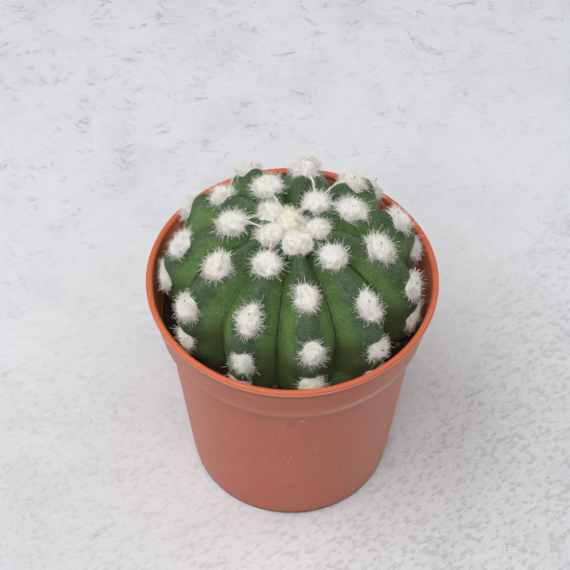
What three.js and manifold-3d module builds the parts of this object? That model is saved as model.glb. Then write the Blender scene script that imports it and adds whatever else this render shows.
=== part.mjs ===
// A low globular cactus with woolly areoles, growing in a plain round plastic nursery pot.
// Units are millimetres and +Z is up. The origin is the middle of the ring that the pot stands on.
// The angle round the plant is counted from +X towards +Y, so the front of the plant is at -90 degrees.

import * as THREE from "three";
import { mergeVertices } from "three/addons/utils/BufferGeometryUtils.js";
import Module from "manifold-3d";

const wasm = await Module();
wasm.setup();

// The pot
const RIM_RADIUS = 42.5;
const POT_HEIGHT = 80;
const WALL = 1.1;
const LIP_BEAD_RADIUS = 1.0;
const LIP_START_DEGREES = -30;
const LIP_SWEEP_DEGREES = 240;
const COLLAR_TOP_RADIUS = 41.9;
const COLLAR_BOTTOM_RADIUS = 39.3;
const COLLAR_BOTTOM_Z = POT_HEIGHT - 15.8;
const STEP_RADIUS = 36.7;
const STEP_Z = POT_HEIGHT - 22;
const STEP_SHARES = [0.25, 0.5, 0.75];
const BASE_RADIUS = 30.6;
const FLOOR_EDGE_RADIUS = BASE_RADIUS + 0.2;
const FOOT_ROUNDING = 1.8;
const FOOT_RING_WIDTH = 3.2;
const FOOT_RECESS = 1.5;
const FLOOR_TOP_Z = 2.8;
const INNER_CORNER = 1.5;
const POT_SIDES = 48;
const BEAD_STEPS = 7;
const FOOT_STEPS = 3;

// The drain holes in the floor
const DRAIN_HOLES = 6;
const DRAIN_HOLE_RADIUS = 3;
const DRAIN_RING_RADIUS = 17.5;
const CENTRE_HOLE_RADIUS = 3.5;
const HOLE_SIDES = 12;

// The soil. Its socket is wider at the body, where the gap is measured sideways on sloping flanks.
const FIT_GAP = 0.3;
const BODY_SOCKET_GAP = 0.42;
const SOIL_DEPTH_BELOW_RIM = 15;
const SOIL_Z = POT_HEIGHT - SOIL_DEPTH_BELOW_RIM;
const SOIL_RINGS = 5;
const SOIL_MIDDLE_RADIUS = 12;

// The lumps of the soil's surface are waves, given in radians a millimetre along X and Y, with their heights.
const SOIL_WAVES = [
  { alongX: 0.55, alongY: 0.47, start: 0.5, height: 0.35 },
  { alongX: 0.55, alongY: -0.47, start: 1.7, height: 0.35 },
  { alongX: 0.9, alongY: -0.7, start: 0, height: 0.4 },
];

// The plant's body, as outlines through a rib crest and through a furrow
const EQUATOR_Z = POT_HEIGHT + 2;
const CREST = { radius: 36.2, rise: 22, drop: 50 };
const FURROW = { radius: 29.6, rise: 18, drop: 50 };
const SHOULDER_POWER = 0.92;
const CROWN_DIP = 2.6;
const CROWN_DIP_RADIUS = 7;

// The ribs
const RIBS = 11;
const FIRST_RIB_DEGREES = -81.5;
const RIB_COLUMNS = [-1, -0.78, -0.5, -0.2, 0.2, 0.5, 0.78];
const CREST_ROUNDING = 0.2;
const FLANK_SWELL = 0.3;
const CHIN_HEIGHT = 1.3;

// The rows of the body's mesh, as angles from the crown down to just under the soil, and below that
const BODY_ROWS = 20;
const BODY_END_DEGREES = 112;
const BURIED_ROWS = 3;
const BURIED_DEPTH = 14;

// The root, under the body in the soil
const ROOT_COLLAR_RADIUS = 6.5;
const ROOT_TIP_RADIUS = 1.6;
const ROOT_TIP_Z = 26;
const ROOT_ROWS = 3;

// The areoles of each rib, rib by rib: how far from the crown the row starts, and its first gap.
// Ribs whose row starts near the crown lie between ribs whose row starts farther out.
const AREOLE_ROWS = [
  { start: 7.3, gap: 17.9 },
  { start: 16.4, gap: 17 },
  { start: 7.3, gap: 18.6 },
  { start: 18.2, gap: 16.3 },
  { start: 10.2, gap: 17.3 },
  { start: 24.3, gap: 14.5 },
  { start: 16.4, gap: 16.4 },
  { start: 7.3, gap: 18.4 },
  { start: 17.5, gap: 17 },
  { start: 7.5, gap: 17.8 },
  { start: 16.4, gap: 16.3 },
];
const AREOLE_GAP_RATIO = 0.85;
const LOWEST_AREOLE_ABOVE_SOIL = 4;

// The wool of an areole: a small core with strands that stand out of it
const TUFT_WIDTH = 4.7;
const TUFT_HEIGHT = 3.6;
const OLD_TUFT_SCALES = [1, 1, 1, 0.86, 0.74];
const TUFT_CORE = 0.78;
const TUFT_ROOT = -0.35;
const TUFT_SPREAD = 0.12;
const CROWN_WOOL_WIDTH = 6.2;
const CROWN_WOOL_HEIGHT = 4.6;
const WOOL_SEED = 11;

// The pup, a young offset at the foot of the furrow on the front right
const PUP_DEGREES = -64;
const PUP_DISTANCE = 30.5;
const PUP_RADIUS = 5.2;
const PUP_Z = SOIL_Z - 0.7;
const PUP_DETAIL = 2;

// Finishes
const PLASTIC = { color: 0xb46a50, roughness: 0.45, metalness: 0 };
const SOIL = { color: 0x2a211b, roughness: 1, metalness: 0 };
const PLANT = { color: 0x4c7350, roughness: 0.6, metalness: 0 };

// Points closer than this are one corner of a mesh
const MERGE_DISTANCE = 1e-4;

const radians = THREE.MathUtils.degToRad;
const DEEPEST_HOLLOW = SOIL_WAVES.reduce((sum, wave) => sum + wave.height, 0);

// Turns a closed geometry into a solid for joining and cutting.
function toSolid(geometry) {
  const bare = geometry.clone();
  bare.deleteAttribute("normal");
  bare.deleteAttribute("uv");
  const merged = mergeVertices(bare, MERGE_DISTANCE);
  return new wasm.Manifold(new wasm.Mesh({
    numProp: 3,
    vertProperties: new Float32Array(merged.attributes.position.array),
    triVerts: new Uint32Array(merged.index.array),
  }));
}

// Turns a solid back into a geometry that three.js can show.
function toGeometry(solid) {
  const mesh = solid.getMesh();
  const geometry = new THREE.BufferGeometry();
  geometry.setAttribute("position", new THREE.BufferAttribute(mesh.vertProperties, 3));
  geometry.setIndex(new THREE.BufferAttribute(mesh.triVerts, 1));
  geometry.computeVertexNormals();
  return geometry;
}

// Keeps the outer skin of a joined solid: hollows that the join sealed are filled, loose scraps go.
function outerSkin(solid) {
  const pieces = solid.decompose();
  return pieces.reduce((largest, piece) => (piece.volume() > largest.volume() ? piece : largest));
}

// Turns an outline of [radius, z] points, which starts and ends on the axis, into a round solid.
function turned(outline, sides) {
  const lathe = new THREE.LatheGeometry(outline.map(([r, z]) => new THREE.Vector2(r, z)), sides);
  lathe.rotateX(Math.PI / 2);
  return toSolid(lathe);
}

// Builds a closed solid from a pole, rows of points and another pole, from the top down.
function wrapped(top, rows, bottom) {
  const points = [top, ...rows.flat(), bottom];
  const columns = rows[0].length;
  const at = (row, column) => 1 + row * columns + (column % columns);
  const faces = [];
  for (let column = 0; column < columns; column++) {
    faces.push(0, at(0, column), at(0, column + 1));
    for (let row = 0; row + 1 < rows.length; row++) {
      const corners = [at(row, column), at(row + 1, column), at(row + 1, column + 1), at(row, column + 1)];
      faces.push(corners[0], corners[1], corners[2], corners[0], corners[2], corners[3]);
    }
    faces.push(at(rows.length - 1, column), points.length - 1, at(rows.length - 1, column + 1));
  }
  const geometry = new THREE.BufferGeometry();
  geometry.setAttribute("position", new THREE.Float32BufferAttribute(points.flatMap((p) => p.toArray()), 3));
  geometry.setIndex(faces);
  return toSolid(geometry);
}

// The pot's outer outline from the foot up to the lip, as [radius, z] points.
function potOuterOutline() {
  const points = [[BASE_RADIUS - FOOT_ROUNDING, 0]];
  for (let step = 1; step <= FOOT_STEPS; step++) {
    const angle = (Math.PI / 2) * (step / FOOT_STEPS);
    points.push([
      BASE_RADIUS - FOOT_ROUNDING + FOOT_ROUNDING * Math.sin(angle),
      FOOT_ROUNDING - FOOT_ROUNDING * Math.cos(angle),
    ]);
  }
  points.push([STEP_RADIUS, STEP_Z], ...stepOutline(0), [COLLAR_BOTTOM_RADIUS, COLLAR_BOTTOM_Z]);
  points.push([COLLAR_TOP_RADIUS, POT_HEIGHT - 2 * LIP_BEAD_RADIUS]);
  return points;
}

// The soft step between the lower wall and the collar, drawn in by the wall's thickness where asked.
function stepOutline(inset) {
  return STEP_SHARES.map((share) => [
    THREE.MathUtils.lerp(STEP_RADIUS, COLLAR_BOTTOM_RADIUS, THREE.MathUtils.smoothstep(share, 0, 1)) - inset,
    THREE.MathUtils.lerp(STEP_Z, COLLAR_BOTTOM_Z, share),
  ]);
}

// The inside of the pot from below the lip down to the floor, as [radius, z] points.
function potInnerOutline(inset, floorZ) {
  return [
    [COLLAR_TOP_RADIUS - inset, POT_HEIGHT - 2 * LIP_BEAD_RADIUS],
    [COLLAR_BOTTOM_RADIUS - inset, COLLAR_BOTTOM_Z],
    ...stepOutline(inset).reverse(),
    [STEP_RADIUS - inset, STEP_Z],
    [FLOOR_EDGE_RADIUS - inset, floorZ + INNER_CORNER],
    [FLOOR_EDGE_RADIUS - inset - INNER_CORNER, floorZ],
  ];
}

// The rolled lip, over the top from its outer side to its inner side.
function lipOutline() {
  const points = [];
  for (let step = 0; step <= BEAD_STEPS; step++) {
    const angle = radians(LIP_START_DEGREES + (LIP_SWEEP_DEGREES * step) / BEAD_STEPS);
    points.push([
      RIM_RADIUS - LIP_BEAD_RADIUS + LIP_BEAD_RADIUS * Math.cos(angle),
      POT_HEIGHT - LIP_BEAD_RADIUS + LIP_BEAD_RADIUS * Math.sin(angle),
    ]);
  }
  return points;
}

function makePot() {
  const ringInside = BASE_RADIUS - FOOT_ROUNDING - FOOT_RING_WIDTH;
  let pot = turned([
    [0, FOOT_RECESS],
    [ringInside - FOOT_RECESS, FOOT_RECESS],
    [ringInside, 0],
    ...potOuterOutline(),
    ...lipOutline(),
    ...potInnerOutline(WALL, FLOOR_TOP_Z),
    [0, FLOOR_TOP_Z],
  ], POT_SIDES);
  pot = pot.subtract(drainHole(CENTRE_HOLE_RADIUS, 0, 0));
  for (let hole = 0; hole < DRAIN_HOLES; hole++) {
    const angle = (2 * Math.PI * hole) / DRAIN_HOLES;
    const x = DRAIN_RING_RADIUS * Math.cos(angle);
    const y = DRAIN_RING_RADIUS * Math.sin(angle);
    pot = pot.subtract(drainHole(DRAIN_HOLE_RADIUS, x, y));
  }
  return toGeometry(pot);
}

function drainHole(radius, x, y) {
  const cutter = new THREE.CylinderGeometry(radius, radius, 4 * FLOOR_TOP_Z, HOLE_SIDES);
  cutter.rotateX(Math.PI / 2);
  cutter.translate(x, y, 0);
  return toSolid(cutter);
}

// A point of the outline through a crest or a furrow, at an angle from the crown.
function outlinePoint(angle, outline) {
  const rise = angle < Math.PI / 2 ? outline.rise : outline.drop;
  const out = outline.radius * Math.sin(angle) ** SHOULDER_POWER;
  const up = rise * Math.sign(Math.cos(angle)) * Math.abs(Math.cos(angle)) ** SHOULDER_POWER;
  const dip = CROWN_DIP * Math.exp(-((out / CROWN_DIP_RADIUS) ** 2));
  return new THREE.Vector2(out, EQUATOR_Z + up - dip);
}

// How far along the crest each angle from the crown lies, measured over the surface.
function measureCrest() {
  const steps = 720;
  const end = radians(BODY_END_DEGREES);
  const lengths = [0];
  let last = outlinePoint(0, CREST);
  for (let step = 1; step <= steps; step++) {
    const next = outlinePoint((end * step) / steps, CREST);
    lengths.push(lengths[step - 1] + next.distanceTo(last));
    last = next;
  }
  const lengthAt = (angle) => lengths[Math.round((angle / end) * steps)];
  const angleAt = (length) => (end * lengths.findIndex((value) => value >= length)) / steps;
  return { lengthAt, angleAt, length: lengths[steps] };
}

const crest = measureCrest();

// The distances along a rib, from the crown, at which its areoles stand.
function areoleLengths(rib) {
  const lengths = [];
  let { start: length, gap } = AREOLE_ROWS[rib];
  while (length < crest.length) {
    lengths.push(length);
    length += gap;
    gap *= AREOLE_GAP_RATIO;
  }
  return lengths;
}

// The swelling of the crest between areoles, from 0 at an areole to 1 midway to the next.
function chin(rib, length) {
  const stops = [0, ...areoleLengths(rib)];
  for (let stop = 0; stop + 1 < stops.length; stop++) {
    if (length < stops[stop + 1]) {
      return Math.sin((Math.PI * (length - stops[stop])) / (stops[stop + 1] - stops[stop])) ** 2;
    }
  }
  return 0;
}

// The height of a rib's cross-section, from 1 on the crest (across = 0) to 0 in the furrow (across = 1).
function ribHeight(across) {
  const slope = (Math.hypot(across, CREST_ROUNDING) - CREST_ROUNDING)
    / (Math.hypot(1, CREST_ROUNDING) - CREST_ROUNDING);
  return (1 - FLANK_SWELL) * (1 - slope) + FLANK_SWELL * Math.cos((Math.PI / 2) * across);
}

// A unit vector square to the crest's outline at an angle from the crown, pointing out.
function outlineNormal(angle) {
  const step = 0.01;
  const tangent = outlinePoint(angle + step, CREST).sub(outlinePoint(angle - step, CREST));
  return new THREE.Vector2(-tangent.y, tangent.x).normalize();
}

// A point of the body's skin. The skin is pushed out sideways by the allowance, to cut a socket for it.
function skinPoint(rib, across, angle, allowance = 0) {
  const height = ribHeight(Math.abs(across));
  const point = outlinePoint(angle, FURROW).lerp(outlinePoint(angle, CREST), height);
  const swelling = CHIN_HEIGHT * chin(rib, crest.lengthAt(angle)) * height ** 2;
  point.addScaledVector(outlineNormal(angle), swelling);
  const turn = radians(FIRST_RIB_DEGREES) + ((rib + across / 2) * 2 * Math.PI) / RIBS;
  return atTurn(turn, point.x + allowance, point.y);
}

// A point at a distance from the plant's axis, at an angle round it.
function atTurn(turn, distance, z) {
  return new THREE.Vector3(distance * Math.cos(turn), distance * Math.sin(turn), z);
}

// The middle of the crown, where the ribs meet.
function crownPoint() {
  return new THREE.Vector3(0, 0, outlinePoint(0, CREST).y);
}

// The ribbed body, rounded off in the soil to the collar of its root.
function makeBody(allowance) {
  const rows = [];
  for (let step = 1; step <= BODY_ROWS; step++) {
    const angle = radians((BODY_END_DEGREES * step) / BODY_ROWS);
    const row = [];
    for (let rib = 0; rib < RIBS; rib++) {
      RIB_COLUMNS.forEach((across) => row.push(skinPoint(rib, across, angle, allowance)));
    }
    rows.push(row);
  }
  const ground = rows[rows.length - 1];
  const collar = ROOT_COLLAR_RADIUS + allowance;
  for (let step = 1; step <= BURIED_ROWS; step++) {
    const angle = (Math.PI / 2) * (step / BURIED_ROWS);
    rows.push(ground.map((point) => {
      const radius = collar + (Math.hypot(point.x, point.y) - collar) * Math.cos(angle);
      return atTurn(Math.atan2(point.y, point.x), radius, point.z - BURIED_DEPTH * Math.sin(angle));
    }));
  }
  const collarZ = ground[0].z - BURIED_DEPTH;
  for (let step = 1; step <= ROOT_ROWS; step++) {
    const share = step / ROOT_ROWS;
    const z = THREE.MathUtils.lerp(collarZ, ROOT_TIP_Z, share);
    const radius = THREE.MathUtils.lerp(ROOT_COLLAR_RADIUS, ROOT_TIP_RADIUS, share) + allowance;
    rows.push(ground.map((point) => atTurn(Math.atan2(point.y, point.x), radius, z)));
  }
  return wrapped(crownPoint(), rows, new THREE.Vector3(0, 0, ROOT_TIP_Z - ROOT_TIP_RADIUS - allowance));
}

function makePup(allowance) {
  const pup = new THREE.IcosahedronGeometry(PUP_RADIUS + allowance, PUP_DETAIL);
  pup.translate(...atTurn(radians(PUP_DEGREES), PUP_DISTANCE, PUP_Z).toArray());
  return toSolid(pup);
}

// A tuft of wool round the origin, reaching 1 out: each face of a small core is drawn out to a strand.
function woolTuft(random) {
  const core = new THREE.IcosahedronGeometry(TUFT_CORE, 0);
  const corners = core.attributes.position;
  const positions = [];
  for (let face = 0; face < corners.count; face += 3) {
    const ends = [0, 1, 2].map((corner) => new THREE.Vector3().fromBufferAttribute(corners, face + corner));
    const strand = ends[0].clone().add(ends[1]).add(ends[2]).normalize();
    if (strand.z < TUFT_ROOT) {
      ends.forEach((end) => positions.push(...end.toArray()));
      continue;
    }
    strand.x += TUFT_SPREAD * (random() - 0.5);
    strand.y += TUFT_SPREAD * (random() - 0.5);
    strand.multiplyScalar(1 + TUFT_SPREAD * (random() - 0.5));
    for (let corner = 0; corner < 3; corner++) {
      const next = ends[(corner + 1) % 3];
      positions.push(...ends[corner].toArray(), ...next.toArray(), ...strand.toArray());
    }
  }
  const tuft = new THREE.BufferGeometry();
  tuft.setAttribute("position", new THREE.Float32BufferAttribute(positions, 3));
  return tuft;
}

// Sets a tuft on a point of the skin, with its own axis along the outward direction.
function plantTuft(point, outward, width, height, random) {
  const tuft = woolTuft(random);
  tuft.rotateZ(2 * Math.PI * random());
  tuft.scale(width, width, height);
  const turn = new THREE.Quaternion().setFromUnitVectors(new THREE.Vector3(0, 0, 1), outward);
  tuft.applyQuaternion(turn);
  tuft.translate(point.x, point.y, point.z);
  return toSolid(tuft);
}

// The wool of every areole that stands clear of the soil, and the larger tuft in the crown.
function makeWool() {
  THREE.MathUtils.seededRandom(WOOL_SEED);
  const random = () => THREE.MathUtils.seededRandom();
  const up = new THREE.Vector3(0, 0, 1);
  const tufts = [plantTuft(crownPoint(), up, CROWN_WOOL_WIDTH, CROWN_WOOL_HEIGHT, random)];
  for (let rib = 0; rib < RIBS; rib++) {
    for (const [order, length] of areoleLengths(rib).entries()) {
      const angle = crest.angleAt(length);
      const point = skinPoint(rib, 0, angle);
      if (point.z > SOIL_Z + LOWEST_AREOLE_ABOVE_SOIL) {
        const normal = outlineNormal(angle);
        const outward = atTurn(Math.atan2(point.y, point.x), normal.x, normal.y);
        const scale = OLD_TUFT_SCALES[order];
        tufts.push(plantTuft(point, outward, scale * TUFT_WIDTH, scale * TUFT_HEIGHT, random));
      }
    }
  }
  return tufts;
}

function makeCactus() {
  const wool = makeWool();
  const plant = wool.reduce((joined, tuft) => joined.add(tuft), makeBody(0).add(makePup(0)));
  return toGeometry(outerSkin(plant));
}

// The height of the soil's surface, which is lumpy but keeps a level edge against the pot.
function soilHeight(x, y) {
  let z = SOIL_Z;
  for (const wave of SOIL_WAVES) {
    z += wave.height * Math.sin(wave.alongX * x + wave.alongY * y + wave.start);
  }
  return z;
}

function makeSoil() {
  const inset = WALL + FIT_GAP;
  const floorZ = FLOOR_TOP_Z + FIT_GAP;
  const wall = potInnerOutline(inset, floorZ).filter(([, z]) => z < SOIL_Z - DEEPEST_HOLLOW);
  const collarHeight = POT_HEIGHT - 2 * LIP_BEAD_RADIUS - COLLAR_BOTTOM_Z;
  const share = (SOIL_Z - COLLAR_BOTTOM_Z) / collarHeight;
  const edgeRadius = THREE.MathUtils.lerp(COLLAR_BOTTOM_RADIUS, COLLAR_TOP_RADIUS, share) - inset;
  const ring = (radius, height) => {
    const row = [];
    for (let side = 0; side < POT_SIDES; side++) {
      const angle = (2 * Math.PI * side) / POT_SIDES;
      const x = radius * Math.cos(angle);
      const y = radius * Math.sin(angle);
      row.push(new THREE.Vector3(x, y, height(x, y)));
    }
    return row;
  };
  const rows = [];
  for (let step = 0; step < SOIL_RINGS; step++) {
    const radius = THREE.MathUtils.lerp(SOIL_MIDDLE_RADIUS, edgeRadius, step / SOIL_RINGS);
    rows.push(ring(radius, soilHeight));
  }
  rows.push(ring(edgeRadius, () => SOIL_Z));
  wall.forEach(([radius, z]) => rows.push(ring(radius, () => z)));
  const filling = wrapped(new THREE.Vector3(0, 0, SOIL_Z), rows, new THREE.Vector3(0, 0, floorZ));
  return toGeometry(filling.subtract(makeBody(BODY_SOCKET_GAP)).subtract(makePup(FIT_GAP)));
}

function named(name, geometry, finish) {
  const mesh = new THREE.Mesh(geometry, new THREE.MeshStandardMaterial(finish));
  mesh.name = name;
  return mesh;
}

const plantInPot = new THREE.Group();
plantInPot.add(named("pot", makePot(), PLASTIC));
plantInPot.add(named("soil", makeSoil(), SOIL));
plantInPot.add(named("cactus", makeCactus(), PLANT));

export default plantInPot;
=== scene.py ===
"""A low globular cactus with woolly areoles in a plastic nursery pot, dressed for a studio picture.

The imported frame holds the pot, the soil and the plant as plain solids. This script replaces them by a finely
turned pot, a bed of loose potting mix and a ribbed plant with felted wool, spines and loose hairs.
Lengths are in metres and +Z is up. Angles round the plant are counted from +X towards +Y.
"""

from __future__ import annotations

import logging
import math
from dataclasses import dataclass
from enum import Enum
from typing import Any, Callable, Iterable, Sequence

import bpy
import numpy as np
from mathutils import Matrix, Vector

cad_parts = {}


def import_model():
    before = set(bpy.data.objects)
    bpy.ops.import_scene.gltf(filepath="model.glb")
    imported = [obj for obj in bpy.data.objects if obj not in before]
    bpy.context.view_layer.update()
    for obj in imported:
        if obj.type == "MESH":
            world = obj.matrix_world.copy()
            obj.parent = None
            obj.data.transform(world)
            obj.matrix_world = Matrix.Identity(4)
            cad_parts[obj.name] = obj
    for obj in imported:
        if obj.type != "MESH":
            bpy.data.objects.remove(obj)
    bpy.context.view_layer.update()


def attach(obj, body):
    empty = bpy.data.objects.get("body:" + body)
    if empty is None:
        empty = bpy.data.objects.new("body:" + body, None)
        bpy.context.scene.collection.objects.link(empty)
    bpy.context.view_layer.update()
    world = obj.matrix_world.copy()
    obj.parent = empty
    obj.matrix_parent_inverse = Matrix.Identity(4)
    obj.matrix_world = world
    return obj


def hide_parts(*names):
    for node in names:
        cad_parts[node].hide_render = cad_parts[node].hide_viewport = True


LOG = logging.getLogger("potted_cactus")
MM = 0.001
CROWN = -1
Colour = tuple[float, float, float]
Number = "Value | float"


class Slot(Enum):
    """The record's material slots."""

    POT = "pot_plastic"
    MIX = "potting_mix"
    PLANT = "cactus_skin"


def operator(kind: str, swapped: bool = False) -> Callable[[Value, Number], Value]:
    """Makes the method for one of Value's operators.

    Args:
        kind: the operation of the Math node that it adds.
        swapped: whether the other number comes first, as it does in 1 - mask.

    Returns:
        The method.
    """
    def method(self: Value, other: Number) -> Value:
        """Adds the operator's Math node."""
        return self.graph.math(kind, *((other, self) if swapped else (self, other)))

    return method


@dataclass(frozen=True)
class Value:
    """A number that a node gives out, which takes part in sums as a Python number does."""

    graph: Graph
    socket: bpy.types.NodeSocket

    __add__, __radd__ = operator("ADD"), operator("ADD", swapped=True)
    __sub__, __rsub__ = operator("SUBTRACT"), operator("SUBTRACT", swapped=True)
    __mul__, __rmul__ = operator("MULTIPLY"), operator("MULTIPLY", swapped=True)
    __truediv__, __rtruediv__ = operator("DIVIDE"), operator("DIVIDE", swapped=True)
    __pow__, __rpow__ = operator("POWER"), operator("POWER", swapped=True)

    def __abs__(self) -> Value:
        """Drops the sign."""
        return self.graph.math("ABSOLUTE", self)


class Graph:
    """Adds the nodes of one finish or one shape to its tree."""

    def __init__(self, tree: bpy.types.NodeTree) -> None:
        """Takes the tree that the nodes go into."""
        self.tree = tree

    def feed(self, socket: bpy.types.NodeSocket, value: Any) -> None:
        """Links a socket to a value, or sets it.

        Args:
            socket: the input to feed.
            value: a Value, an output socket, or what the socket holds as a constant.
        """
        if isinstance(value, Value):
            value = value.socket
        if isinstance(value, bpy.types.NodeSocket):
            self.tree.links.new(value, socket)
        elif socket.type == "RGBA" and len(value) == 3:
            socket.default_value = (*value, 1.0)
        else:
            socket.default_value = value

    def node(self, kind: str, settings: dict[str, Any] | None = None,
             inputs: dict[int | str, Any] | None = None) -> bpy.types.Node:
        """Adds one node.

        Args:
            kind: the node's type name.
            settings: its properties, which are set first.
            inputs: what its sockets get, by name or by number.

        Returns:
            The new node.
        """
        node = self.tree.nodes.new(kind)
        for name, value in (settings or {}).items():
            setattr(node, name, value)
        for key, value in (inputs or {}).items():
            self.feed(self.pick(node.inputs, key), value)
        return node

    @staticmethod
    def pick(sockets: Any, key: int | str) -> bpy.types.NodeSocket:
        """The socket with a number, or the enabled one with a name."""
        if isinstance(key, int):
            return sockets[key]
        return next(socket for socket in sockets if socket.name == key and socket.enabled)

    def out(self, node: bpy.types.Node, key: int | str = 0) -> Value:
        """Wraps an output of a node."""
        return Value(self, self.pick(node.outputs, key))

    def math(self, operation: str, *terms: Number) -> Value:
        """Adds a Math node."""
        return self.out(self.node("ShaderNodeMath", {"operation": operation}, dict(enumerate(terms))))

    def vector(self, operation: str, *terms: Any, result: str = "Vector") -> Value:
        """Adds a Vector Math node. Its result is a vector unless the output named is "Value"."""
        node = self.node("ShaderNodeVectorMath", {"operation": operation}, dict(enumerate(terms)))
        return self.out(node, result)

    def dot(self, first: Any, second: Any) -> Value:
        """The dot product of two vectors."""
        return self.vector("DOT_PRODUCT", first, second, result="Value")

    def scaled(self, vector: Value, scale: Number) -> Value:
        """Multiplies a vector by a number."""
        node = self.node("ShaderNodeVectorMath", {"operation": "SCALE"}, {0: vector, "Scale": scale})
        return self.out(node, "Vector")

    def joined(self, x: Number, y: Number, z: Number) -> Value:
        """Makes a vector of three numbers."""
        return self.out(self.node("ShaderNodeCombineXYZ", None, {"X": x, "Y": y, "Z": z}))

    def split(self, vector: Value) -> tuple[Value, Value, Value]:
        """Takes a vector apart into its three numbers."""
        node = self.node("ShaderNodeSeparateXYZ", None, {0: vector})
        return self.out(node, 0), self.out(node, 1), self.out(node, 2)

    def reach(self, x: Value, y: Value) -> Value:
        """The length of the way with these two sides."""
        return (x * x + y * y) ** 0.5

    def ease(self, value: Number, start: float, end: float) -> Value:
        """A soft step that goes from 0 where the value is at start to 1 where it is at end."""
        low, high = (0.0, 1.0) if start <= end else (1.0, 0.0)
        return self.out(self.node("ShaderNodeMapRange", {"interpolation_type": "SMOOTHSTEP"}, {
            "Value": value, "From Min": min(start, end), "From Max": max(start, end),
            "To Min": low, "To Max": high,
        }), "Result")

    def noise(self, place: Any, size: float, detail: float = 2.0, roughness: float = 0.5,
              distortion: float = 0.0) -> Value:
        """Cloudy noise from 0 to 1. Detail and roughness are the number and strength of its finer layers."""
        inputs = {
            "Vector": place, "Scale": 1.0 / size, "Detail": detail,
            "Roughness": roughness, "Distortion": distortion,
        }
        return self.out(self.node("ShaderNodeTexNoise", None, inputs))

    def patches(self, place: Any, size: float, start: float, end: float, *texture: float) -> Value:
        """Soft patches of a size, from the level of the noise where they begin to where they are full."""
        return self.ease(self.noise(place, size, *texture), start, end)

    def mix(self, share: Number, first: Any, second: Any) -> Value:
        """Mixes two colours by a share that is kept between 0 and 1."""
        node = self.node("ShaderNodeMix", {"data_type": "RGBA", "clamp_factor": True}, {
            "Factor": share, "A": first, "B": second,
        })
        return self.out(node, "Result")


class FinishGraph(Graph):
    """The nodes of one finish."""

    def attribute(self, name: str) -> Value:
        """A number that the mesh carries at each point."""
        return self.out(self.node("ShaderNodeAttribute", {"attribute_name": name}), "Fac")

    def place(self) -> Value:
        """The Object coordinates, which are in metres in the part's frame."""
        return self.out(self.node("ShaderNodeTexCoord"), "Object")

    def specks(self, place: Any, spacing: float, reach: float, share: float) -> Value:
        """Small round specks.

        Args:
            place: the coordinates that they read.
            spacing: how far they stand apart.
            reach: their radius as a share of the spacing.
            share: the share of the places that hold one.

        Returns:
            1 in a speck and 0 between them.
        """
        node = self.node("ShaderNodeTexVoronoi", None, {"Vector": place, "Scale": 1.0 / spacing})
        chosen = self.split(self.out(node, "Color"))[0]
        size = self.math("LESS_THAN", chosen, share) * reach
        return self.ease(self.out(node, "Distance") / (size + 1e-4), 1.0, 0.6)

    def surface(self, colour: Any, roughness: Any, height: Value | None, depth: float = 0.0,
                **constants: Any) -> None:
        """Ends the finish with its shader.

        Args:
            colour: the base colour.
            roughness: the roughness.
            height: the relief, from 0 to 1, or None for none.
            depth: how deep the relief is, in metres.
            constants: the shader's other sockets, with spaces written as underscores.
        """
        inputs = {"Base Color": colour, "Roughness": roughness}
        inputs.update({name.replace("_", " "): value for name, value in constants.items()})
        if height is not None:
            bump = self.node("ShaderNodeBump", None, {"Height": height, "Distance": depth, "Strength": 1.0})
            inputs["Normal"] = self.out(bump)
        shader = self.node("ShaderNodeBsdfPrincipled", None, inputs)
        self.node("ShaderNodeOutputMaterial", None, {"Surface": shader.outputs[0]})


@dataclass(frozen=True)
class Finish:
    """A finish of the part. Each kind draws its own nodes, most of them as layers of colour over each other.

    A bare number in a layer is its share, or a level of a noise.
    """

    name: str = "finish"

    def draw(self, graph: FinishGraph) -> None:
        """Adds the finish's nodes."""
        raise NotImplementedError

    def material(self) -> bpy.types.Material:
        """Makes the finish's material."""
        material = bpy.data.materials.new(self.name)
        material.use_nodes = True
        material.node_tree.nodes.clear()
        self.draw(FinishGraph(material.node_tree))
        return material


@dataclass(frozen=True)
class PotField:
    """What varies over the pot and is read by several layers of its finish: places and noises."""

    place: Value
    x: Value
    z: Value
    inner: Value
    turn: Value
    distance: Value
    unrolled: Value
    upright: Value
    cloud: Value
    mottle: Value
    grain: Value
    streaks: Value
    film: Value


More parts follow.
